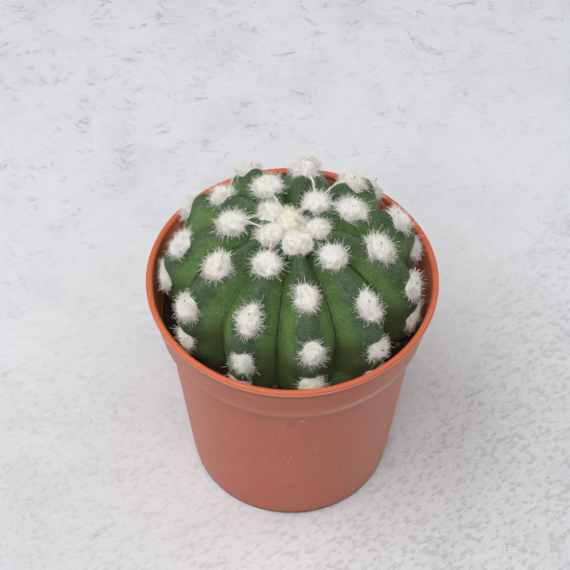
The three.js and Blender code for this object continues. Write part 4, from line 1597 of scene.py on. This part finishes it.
@dataclass
class AreoleWool:
    """The wool of all areoles: cushions of matted felt with fine hair standing out of them, and spines.

    A bare number in its rules is a share. Those of `random` end with their seed.
    """

    plant: Plant
    pot: NurseryPot
    soil_z: float = 65 * MM
    lowest: float = 4 * MM
    cushion_radius: float = 3.02 * MM
    cushion_height: float = 2.3 * MM
    crown_place: Vector = Vector((-1.0, -0.9, 0.0)) * MM
    crown_cream: float = 0.2
    crown_radius: float = 5.8 * MM
    crown_height: float = 2.3 * MM
    heart_place: Vector = Vector((-1.3, 0.9, 0.0)) * MM
    heart_width: float = 4.1 * MM
    heart_length: float = 4.8 * MM
    heart_height: float = 4.0 * MM
    crown_reach: float = 9 * MM
    young_cream: float = 0.12
    first_age: float = 0.15
    ageing: float = 0.25
    size_spread: tuple[float, float] = (0.90, 1.10)
    length_spread: tuple[float, float] = (1.0, 1.2)
    width_spread: tuple[float, float] = (0.94, 1.06)
    height_spread: tuple[float, float] = (0.85, 1.15)
    old_scales: tuple[float, ...] = (1.10, 1.0, 0.97, 0.86, 0.74)
    habits: tuple[Habit, ...] = tuple(Habit(*numbers) for numbers in (
        (0, 0, 1.0, 1.30), (0, 1, 1.35, 1.02, 0.7), (0, 2, 1.05, 1.02, 0.7), (1, 0, 1.0, 1.05, 2.5),
        (1, 1, 1.38, 0.88, 1.5), (1, 2, 0.90, 0.95), (2, 0, 0.96, 0.93), (2, 1, 1.2, 1.2, 3.0),
        (2, 2, 1.1, 1.1), (2, 3, 1.25, 1.45, 1.0), (3, 0, 1.2, 1.22, 3.5), (3, 1, 1.05, 1.08, 0.8),
        (3, 2, 1.15, 1.2), (4, 0, 1.0, 1.08), (6, 0, 1.05, 1.0, 2.5), (7, 0, 0.97, 0.97, 2.0),
        (7, 1, 1.08, 1.08, -1.5), (8, 0, 1.08, 1.05, -2.5), (8, 1, 1.2, 1.25), (8, 2, 1.25, 1.5),
        (8, 3, 1.3, 1.5), (9, 0, 1.05, 1.05, 2.0), (9, 1, 1.2, 1.05, -1.8), (9, 2, 1.15, 1.2),
        (9, 3, 1.1, 1.15), (10, 0, 1.03, 1.05, -2.8), (10, 1, 1.45, 0.95, 1.5), (10, 2, 1.3, 0.92, 2.0),
    ))
    lump: float = 1.15 * MM
    knot: float = 0.38 * MM
    knot_size: float = 0.9 * MM
    lump_size: float = 2.5 * MM
    lock_size: float = 1.25 * MM
    lock_pull: float = 3.2
    lit_from: tuple[float, float, float] = (-0.10, -0.32, 0.95)
    felt: Coat = Coat(1.45 * MM, 0.042 * MM, 27 / MM ** 2, 0.60, False)
    floss: Coat = Coat(2.5 * MM, 0.036 * MM, 6.2 / MM ** 2, 0.55, True)
    wisps: Coat = Coat(3.6 * MM, 0.034 * MM, 0.70 / MM ** 2, 1.5, True)
    hair_lengths: tuple[float, float] = (0.35, 1.1)
    bare_below: float = -0.2
    bends: tuple[tuple[float, float], ...] = ((0.10, 0.06), (0.30, -0.08), (0.22, 0.16), (0.45, 0.12))
    spine_length: float = 4.3 * MM
    spine_radius: float = 0.13 * MM
    spine_lean: float = 0.85
    spine_stray: float = 0.35
    spine_lengths: tuple[float, float] = (0.85, 1.0)
    spined_share: float = 0.75
    wall_gap: float = 0.25 * MM
    room_above: float = 6 * MM
    groups: int = 5
    seed: int = 5
    root_seed: int = 3
    spine_seed: int = 8

    def tufts(self) -> list[Tuft]:
        """The tufts of every areole that stands clear of the soil, after the two in the crown."""
        plant = self.plant
        draw = np.random.default_rng(self.seed)
        near_axis = 1.1 * plant.probe
        top = Vector((0, 0, plant.crest_frame(0.0, near_axis)[0].z))
        up, across = Vector((0, 0, 1)), Vector((1, 0, 0))
        found = [
            Tuft(top + self.heart_place, up, across, self.heart_width, self.heart_length, self.heart_height,
                 1.0, 0.0, CROWN, 0),
            Tuft(top + self.crown_place, up, across, self.crown_radius, self.crown_radius, self.crown_height,
                 self.crown_cream, 0.0, CROWN, 1),
        ]
        habits = {(habit.rib, habit.order): habit for habit in self.habits}
        end = float(plant.crest_lengths(np.array([plant.end_angle]))[0])
        for rib, row in enumerate(plant.rows):
            turn = plant.first_rib + 2 * math.pi * rib / plant.ribs
            length, gap, order = row.start, row.gap, 0
            while length < end and order < len(self.old_scales):
                habit = habits.get((rib, order), Habit(rib, order, 1.0, 1.0))
                swung = turn + math.radians(habit.swing)
                point, outward, down = plant.crest_frame(swung, plant.angle_at(length))
                if point.z > self.soil_z + self.lowest:
                    scale = self.old_scales[order] * draw.uniform(*self.size_spread)
                    radius = scale * self.cushion_radius
                    cream = self.young_cream if length < self.crown_reach else 0.0
                    found.append(Tuft(
                        point, outward, down, radius * habit.length * draw.uniform(*self.length_spread),
                        radius * habit.width * draw.uniform(*self.width_spread),
                        scale * self.cushion_height * draw.uniform(*self.height_spread),
                        cream, min(1.0, self.ageing * order + self.first_age), rib, order,
                    ))
                length, gap, order = length + gap, gap * plant.gap_ratio, order + 1
        return found

    def _points(self, name: str, tufts: Sequence[Tuft]) -> bpy.types.Mesh:
        """A point for each tuft, which carries how it lies and how large it is."""
        points = np.array([tuft.point for tuft in tufts])
        labels = ("outward", "down", "length", "width", "height", "cream", "aged")
        carried = {label: np.array([getattr(tuft, label) for tuft in tufts]) for label in labels}
        return make_mesh(name, points, centre=points, **carried)

    @staticmethod
    def _hair(graph: ShapeGraph, bend: float, sway: float, segments: int = 2) -> Value:
        """One bent, tapering hair of length 1 along Z, as thick as the shape's input says.

        Args:
            graph: takes the nodes.
            bend: how far the tip hangs over.
            sway: how far the middle bows out.
            segments: how many straight stretches it has.

        Returns:
            The hair.
        """
        line = graph.node("GeometryNodeCurveQuadraticBezier", None, {
            "Resolution": segments, "Start": (0.0, 0.0, 0.0), "Middle": (sway, -sway, 0.55),
            "End": (bend, 0.0, 0.95),
        })
        along = graph.out(graph.node("GeometryNodeSplineParameter"), "Factor")
        radius = graph.given("Hair radius") / graph.given("Hair length")
        hair = graph.tube(line.outputs[0], 1.0 - 0.7 * along, 3, radius)
        # Depth grows towards the root, where the wool's finish paints the hair darker as shade.
        return graph.store(hair, "depth", 1.0 - graph.split(graph.position())[2])

    @staticmethod
    def _bristle(graph: ShapeGraph) -> Value:
        """One straight pointed hair of length 1 along Z, as thick as the shape's input says."""
        hair = graph.out(graph.node("GeometryNodeMeshCone", {"fill_type": "NGON"}, {
            "Vertices": 3, "Radius Top": 0.0, "Depth": 1.0,
            "Radius Bottom": graph.given("Hair radius") / graph.given("Hair length"),
        }))
        # Depth grows towards the root, where the wool's finish paints the hair darker as shade.
        return graph.store(hair, "depth", 1.0 - graph.split(graph.position())[2])

    def build(self, wool: bpy.types.Material) -> list[Tuft]:
        """Builds the wool and hands it over.

        Args:
            wool: the wool's finish.

        Returns:
            The tufts.
        """
        tufts = self.tufts()
        LOG.info("%d tufts", len(tufts))
        crown = [tuft for tuft in tufts if tuft.cream > 0]
        sides = [tuft for tuft in tufts if tuft.cream == 0]
        felt = self._wool_shape(self.felt, with_felt=True)
        floss, wisps = (self._wool_shape(coat, with_felt=False) for coat in (self.floss, self.wisps))
        layers = [(felt, self.felt, "wool_crown", crown)]
        for group in range(self.groups):
            members = [tuft for tuft in sides if tuft.rib * self.groups // self.plant.ribs == group]
            layers.append((felt, self.felt, f"wool_side_{group + 1}", members))
        layers.append((floss, self.floss, "wool_floss_near", [tuft for tuft in tufts if tuft.point.y < 0]))
        layers.append((floss, self.floss, "wool_floss_far", [tuft for tuft in tufts if tuft.point.y >= 0]))
        layers.append((wisps, self.wisps, "wool_wisps", tufts))
        for shape, coat, name, members in layers:
            values = {"Hair length": coat.length, "Hair radius": coat.radius, "Density": coat.density}
            values["Finish"] = wool
            hand_over(shape.applied(name, self._points(name, members), values), Slot.PLANT)
        draw = np.random.default_rng(self.spine_seed)
        spined = [t for t in tufts if t.rib != CROWN and draw.random() < self.spined_share and t.order > 0]
        values = {"Hair length": self.spine_length, "Hair radius": self.spine_radius}
        values["Finish"] = SpineHorn().material()
        hand_over(self._spine_shape().applied("spines", self._points("spines", spined), values), Slot.PLANT)
        return tufts

    def _clear_of_wall(self, graph: ShapeGraph) -> Value:
        """The position of each point, drawn in to clear the pot's wall where it is lower than the lip."""
        x, y, z = graph.split(graph.position())
        distance = graph.reach(x, y)
        low_z = self.pot.height - self.pot.collar_height
        high_z = self.pot.height - 2 * self.pot.lip_bead
        low, high = (self.pot.inner_radius(level) - self.wall_gap for level in (low_z, high_z))
        room = low + (z - low_z) * ((high - low) / (high_z - low_z))
        over_lip = graph.ease(z, self.pot.height - self.pot.lip_bead, self.pot.height + self.pot.lip_bead)
        room = room + over_lip * self.room_above
        share = graph.math("MINIMUM", room / (distance + 1e-6), 1.0)
        return graph.joined(x * share, y * share, z)

    def _spine_shape(self) -> ShapeGraph:
        """The rule of the spines: one short stiff spine on each point, leaning a little at random."""
        graph = ShapeGraph("spines", "Hair length", "Hair radius")
        lean = graph.random((-self.spine_stray,) * 3, (self.spine_stray,) * 3, 21)
        lean = graph.vector("SUBTRACT", lean, graph.scaled(graph.way("down"), self.spine_lean))
        direction = graph.vector("ADD", graph.way("outward"), lean)
        length = graph.given("Hair length") * graph.random(*self.spine_lengths, 23)
        length = length * (graph.named("height") / self.cushion_height)
        size = graph.joined(length, length, length)
        spine = self._hair(graph, 0.06, 0.03, 4)
        spines = graph.realized(graph.copies(graph.given("Base"), spine, graph.turned_to(direction), size))
        graph.end(graph.moved(spines, position=self._clear_of_wall(graph)))
        return graph

    def _cushions(self, graph: ShapeGraph) -> Value:
        """The lumpy cushions of felt, one on each point."""
        ball = graph.node("GeometryNodeMeshIcoSphere", None, {"Radius": 1.0, "Subdivisions": 4})
        upright = graph.turned_to(graph.way("outward"))
        lying = graph.turned_to(graph.way("down"), "X", upright)
        size = graph.joined(graph.named("length"), graph.named("width"), graph.named("height"))
        cushions = graph.realized(graph.copies(graph.given("Base"), graph.out(ball), lying, size))
        cushions = graph.stirred(cushions, self.lump_size, self.lump)
        return graph.stirred(cushions, self.knot_size, self.knot)

    def _roots(self, graph: ShapeGraph, cushions: Value) -> Value:
        """Scatters the hairs' roots over the cushions.

        Args:
            graph: takes the nodes.
            cushions: the cushions.

        Returns:
            The points, fewer on the top and none on the underside. Each carries the felt's normal.
        """
        upward = graph.dot(graph.normal(), graph.way("outward"))
        crowded = 0.42 + 0.58 * graph.ease(upward, 0.92, 0.40)
        scatter = graph.node("GeometryNodeDistributePointsOnFaces", None, {
            "Mesh": cushions, "Density": graph.given("Density") * crowded, "Seed": self.root_seed,
        })
        normal = graph.out(scatter, "Normal")
        roots = graph.store(scatter.outputs["Points"], "felt_normal", normal, "FLOAT_VECTOR")
        facing = graph.dot(graph.way("felt_normal"), graph.way("outward"))
        return graph.out(graph.node("GeometryNodeDeleteGeometry", {"domain": "POINT"}, {
            "Geometry": roots, "Selection": graph.math("LESS_THAN", facing, self.bare_below),
        }))

    def _hairs(self, graph: ShapeGraph, coat: Coat, roots: Value) -> Value:
        """Sets a hair on each root, drawn together in locks and straying at random.

        Args:
            graph: takes the nodes.
            coat: how the hair grows.
            roots: where it grows.

        Returns:
            The hairs, each with how dull it is.
        """
        normal = graph.way("felt_normal")
        facing = graph.dot(normal, graph.way("outward"))
        lock = graph.drift(self.lock_size, self.lock_pull)
        stray = coat.stray * (1.0 + 1.2 * graph.ease(facing, 0.55, 0.92))
        jitter = graph.scaled(graph.random((-1.0, -1.0, -1.0), (1.0, 1.0, 1.0), 7), stray)
        direction = graph.vector("ADD", graph.vector("ADD", normal, lock), jitter)
        spin = graph.node("FunctionNodeAxisAngleToRotation", None, {
            "Axis": (0.0, 0.0, 1.0), "Angle": graph.random(0.0, 2 * math.pi, 9),
        })
        spun = graph.node("FunctionNodeRotateRotation", {"rotation_space": "LOCAL"}, {
            "Rotation": graph.turned_to(direction), "Rotate By": spin.outputs[0],
        })
        length = graph.given("Hair length") * graph.random(*self.hair_lengths, 13)
        length = length * (0.55 + 0.45 * graph.ease(facing, 0.9, 0.3))
        size = graph.joined(length, length, length)
        shapes = [self._hair(graph, *bend) for bend in self.bends] if coat.curved else [self._bristle(graph)]
        kinds = [graph.out(graph.node("GeometryNodeGeometryToInstance", None, {0: hair})) for hair in shapes]
        hairs = graph.copies(roots, graph.together(*kinds), graph.out(spun), size, pick=True)
        return graph.realized(graph.store(hairs, "dull", graph.random(0.0, 1.0, 17), domain="INSTANCE"))

    def _wool_shape(self, coat: Coat, with_felt: bool) -> ShapeGraph:
        """The rule of one layer of wool, which is bent clear of the pot.

        Args:
            coat: how its hair grows.
            with_felt: whether the cushions are part of it.

        Returns:
            The shape.
        """
        graph = ShapeGraph("areole_wool", "Hair length", "Hair radius", "Density")
        cushions = self._cushions(graph)
        wool = self._hairs(graph, coat, self._roots(graph, cushions))
        if with_felt:
            felt = graph.store(cushions, "felt_normal", graph.normal(), "FLOAT_VECTOR")
            # The felt carries full depth, so the wool's finish paints it darker as the shade under the hair.
            felt = graph.store(graph.store(felt, "depth", 1.0), "dull", 0.5)
            wool = graph.together(felt, wool)
        outward, normal = graph.way("outward"), graph.way("felt_normal")
        lit_as = graph.vector("ADD", graph.scaled(outward, 0.32), graph.scaled(normal, 0.55))
        wool = graph.facing(wool, graph.vector("ADD", lit_as, self.lit_from))
        offset = graph.vector("SUBTRACT", graph.position(), graph.way("centre"))
        low = graph.dot(offset, graph.way("down")) / graph.named("length")
        graph.end(graph.moved(graph.store(wool, "low", low), position=self._clear_of_wall(graph)))
        return graph


@dataclass(frozen=True)
class Strand:
    """A matted thread of wool that spans two tufts.

    Attributes:
        start: the rib and the order of the tuft that it leaves.
        end: the same of the tuft that it reaches.
        bow: how far its middle swings to the left of the straight way.
        arch: how far its middle lifts off the plant.
    """

    start: tuple[int, int]
    end: tuple[int, int]
    bow: float
    arch: float


@dataclass
class LooseThreads:
    """The threads of matted wool that hang between the tufts of the crown, each of several fine fibres.

    A thread holds on to its tufts at a share of their size from the middle.
    """

    points: int = 14
    fibres: int = 7
    spread: float = 0.32 * MM
    radius: float = 0.042 * MM
    wander: float = 0.45 * MM
    wander_size: float = 1.6 * MM
    fine_points: int = 22
    hold: float = 0.65
    seed: int = 17
    strands: tuple[Strand, ...] = tuple(Strand(start, end, bow * MM, arch * MM) for start, end, bow, arch in (
        ((5, 0), (4, 0), 0.5, 0.5), ((4, 1), (4, 0), -0.8, 0.8), ((4, 0), (CROWN, 0), 0.9, 0.9),
        ((6, 0), (CROWN, 0), -0.7, 1.0), ((8, 0), (7, 0), -0.6, 0.5), ((8, 0), (9, 0), 0.6, 0.3),
        ((9, 0), (10, 0), 0.6, 0.2), ((0, 0), (2, 0), -2.4, 0.4), ((2, 0), (CROWN, 0), 0.3, 0.7),
        ((7, 0), (CROWN, 0), 0.4, 0.8), ((7, 0), (9, 0), 0.3, 0.5), ((3, 0), (4, 0), 0.5, 0.3),
    ))

    def _shape(self) -> ShapeGraph:
        """The rule that turns each line into a few fibres that wander about it."""
        graph = ShapeGraph("loose_threads", "Radius", "Wander")
        curves = graph.node("GeometryNodeMeshToCurve", None, {"Mesh": graph.given("Base")})
        curve = curves.outputs[0]
        fine = graph.node("GeometryNodeResampleCurve", None, {0: curve, "Count": self.fine_points})
        free = graph.math("SINE", graph.out(graph.node("GeometryNodeSplineParameter"), "Factor") * math.pi)
        sway = graph.drift(self.wander_size, graph.given("Wander") * 2.0 * free)
        wavy = graph.moved(fine.outputs[0], offset=sway)
        threads = graph.tube(wavy, 0.5 + 0.5 * free, 4, graph.given("Radius"))
        lit_as = graph.vector("ADD", graph.scaled(graph.normal(), 0.5), (0.0, 0.0, 1.0))
        graph.end(graph.facing(threads, lit_as))
        return graph

    def build(self, tufts: Sequence[Tuft], wool: bpy.types.Material) -> None:
        """Builds the threads and hands them over.

        Args:
            tufts: the tufts that they span.
            wool: the wool's finish.
        """
        draw = np.random.default_rng(self.seed)
        by_place = {(tuft.rib, tuft.order): tuft for tuft in tufts}
        points, edges = [], []
        for strand in self.strands:
            start, end = by_place[strand.start], by_place[strand.end]
            way = (end.point - start.point).normalized()
            first = np.array(start.point + (start.outward * start.height + way * start.width) * self.hold)
            last = np.array(end.point + (end.outward * end.height - way * end.width) * self.hold)
            up = np.array((start.outward + end.outward).normalized())
            side = np.cross(up, last - first)
            side /= np.linalg.norm(side)
            for _ in range(self.fibres):
                off = draw.uniform(-1, 1, (2, 3)) * self.spread * 1.5
                share = np.linspace(0, 1, self.points)[:, None]
                swell = np.sin(share * math.pi)
                arch = strand.arch + draw.uniform(-1, 1) * self.spread
                line = (first + off[0]) * (1 - share) + (last + off[1]) * share
                line += swell * (side * strand.bow + up * arch)
                begin = len(points)
                points += line.tolist()
                edges += [(begin + i, begin + i + 1) for i in range(self.points - 1)]
        base = make_mesh("threads", np.array(points), (), edges)
        values = {"Radius": self.radius, "Wander": self.wander, "Finish": wool}
        hand_over(self._shape().applied("wool_threads", base, values), Slot.PLANT)


@dataclass(frozen=True)
class Lamp:
    """A square soft light that faces the plant.

    Attributes:
        name: its name.
        azimuth: the direction that it stands in, in degrees from +X towards +Y.
        elevation: how high it stands, in degrees.
        power: its power in watts.
        size: the length of its side.
    """

    name: str
    azimuth: float
    elevation: float
    power: float
    size: float = 0.7


@dataclass
class Studio:
    """The pale floor, the soft light and the camera."""

    view_scale: float = 42.5 * MM
    focal_pixels: float = 2000.0
    frame_pixels: float = 570.0
    tilt: float = math.radians(51.05)
    roll: float = math.radians(0.42)
    eye: tuple[float, float, float] = (-0.05, -8.62, 12.44)
    floor_half: float = 3.0
    sky: float = 0.02
    aim: Vector = Vector((0, 0, 40 * MM))
    lamp_distance: float = 1.1
    lamps: tuple[Lamp, ...] = (
        Lamp("window", 240, 60, 5.2),
        Lamp("window_left", 180, 60, 2.75),
        Lamp("window_right", 300, 60, 2.35),
        Lamp("low_left", 180, 35, 1.6),
        Lamp("far_right", 25, 35, 3.0),
        Lamp("behind", 120, 66, 1.3),
    )

    def _camera(self) -> None:
        """Sets the camera at the photograph's viewing angle."""
        data = bpy.data.cameras.new("camera")
        data.sensor_width = 36.0
        data.lens = self.focal_pixels / self.frame_pixels * data.sensor_width
        sine, cosine = math.sin(self.tilt), math.cos(self.tilt)
        forward = Vector((0, cosine, -sine))
        up = Vector((0, sine, cosine))
        right = Vector((1, 0, 0))
        turned_right = math.cos(self.roll) * right + math.sin(self.roll) * up
        turned_up = math.cos(self.roll) * up - math.sin(self.roll) * right
        matrix = Matrix((turned_right, turned_up, -forward)).transposed().to_4x4()
        matrix.translation = Vector(self.eye) * self.view_scale
        camera = add_object("camera", data)
        camera.matrix_world = matrix
        bpy.context.scene.camera = camera

    def _light(self, lamp: Lamp) -> None:
        """Adds one soft light.

        Args:
            lamp: the light.
        """
        data = bpy.data.lights.new(lamp.name, "AREA")
        data.size = lamp.size
        data.energy = lamp.power
        azimuth, elevation = math.radians(lamp.azimuth), math.radians(lamp.elevation)
        level = math.cos(elevation)
        way = Vector((level * math.cos(azimuth), level * math.sin(azimuth), math.sin(elevation)))
        light = add_object(lamp.name, data)
        light.location = self.aim + self.lamp_distance * way
        light.rotation_euler = way.to_track_quat("Z", "Y").to_euler()

    def build(self) -> None:
        """Builds the floor, the lights and the camera."""
        side = self.floor_half
        corners = np.array([(-side, -side, 0), (side, -side, 0), (side, side, 0), (-side, side, 0)])
        floor = make_mesh("floor", corners, [(0, 1, 2, 3)])
        floor.materials.append(Plaster().material())
        add_object("floor", floor)
        world = bpy.data.worlds.new("studio")
        world.use_nodes = True
        world.node_tree.nodes.clear()
        graph = Graph(world.node_tree)
        sky = graph.node("ShaderNodeBackground", None, {"Color": (0.95, 0.97, 1.0), "Strength": self.sky})
        graph.node("ShaderNodeOutputWorld", None, {"Surface": sky.outputs[0]})
        bpy.context.scene.world = world
        bpy.context.scene.view_settings.view_transform = "Standard"
        for lamp in self.lamps:
            self._light(lamp)
        self._camera()


def main() -> None:
    """Builds the dressed part around the frame."""
    logging.basicConfig(level=logging.INFO, format="%(message)s")
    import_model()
    pot = NurseryPot()
    plant = Plant()
    skin = CactusSkin().material()
    # Painted shade: the pup's skin is a darker copy of the plant's, as the pup sits in shadow.
    shaded_pup_skin = CactusSkin(
        "shaded_pup_skin", flank=(0.034, 0.072, 0.014), fresh=(0.055, 0.105, 0.026), crest=(0.024, 0.048, 0.018),
        bloom=(0.040, 0.068, 0.030),
    )
    wool = Wool().material()
    Studio().build()
    pot.build()
    PotWear(pot).build()
    PottingBed(pot).build()
    plant.build(skin)
    Pup().build(shaded_pup_skin.material())
    tufts = AreoleWool(plant, pot).build(wool)
    LooseThreads().build(tufts, wool)
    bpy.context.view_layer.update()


if __name__ == "__main__":
    main()
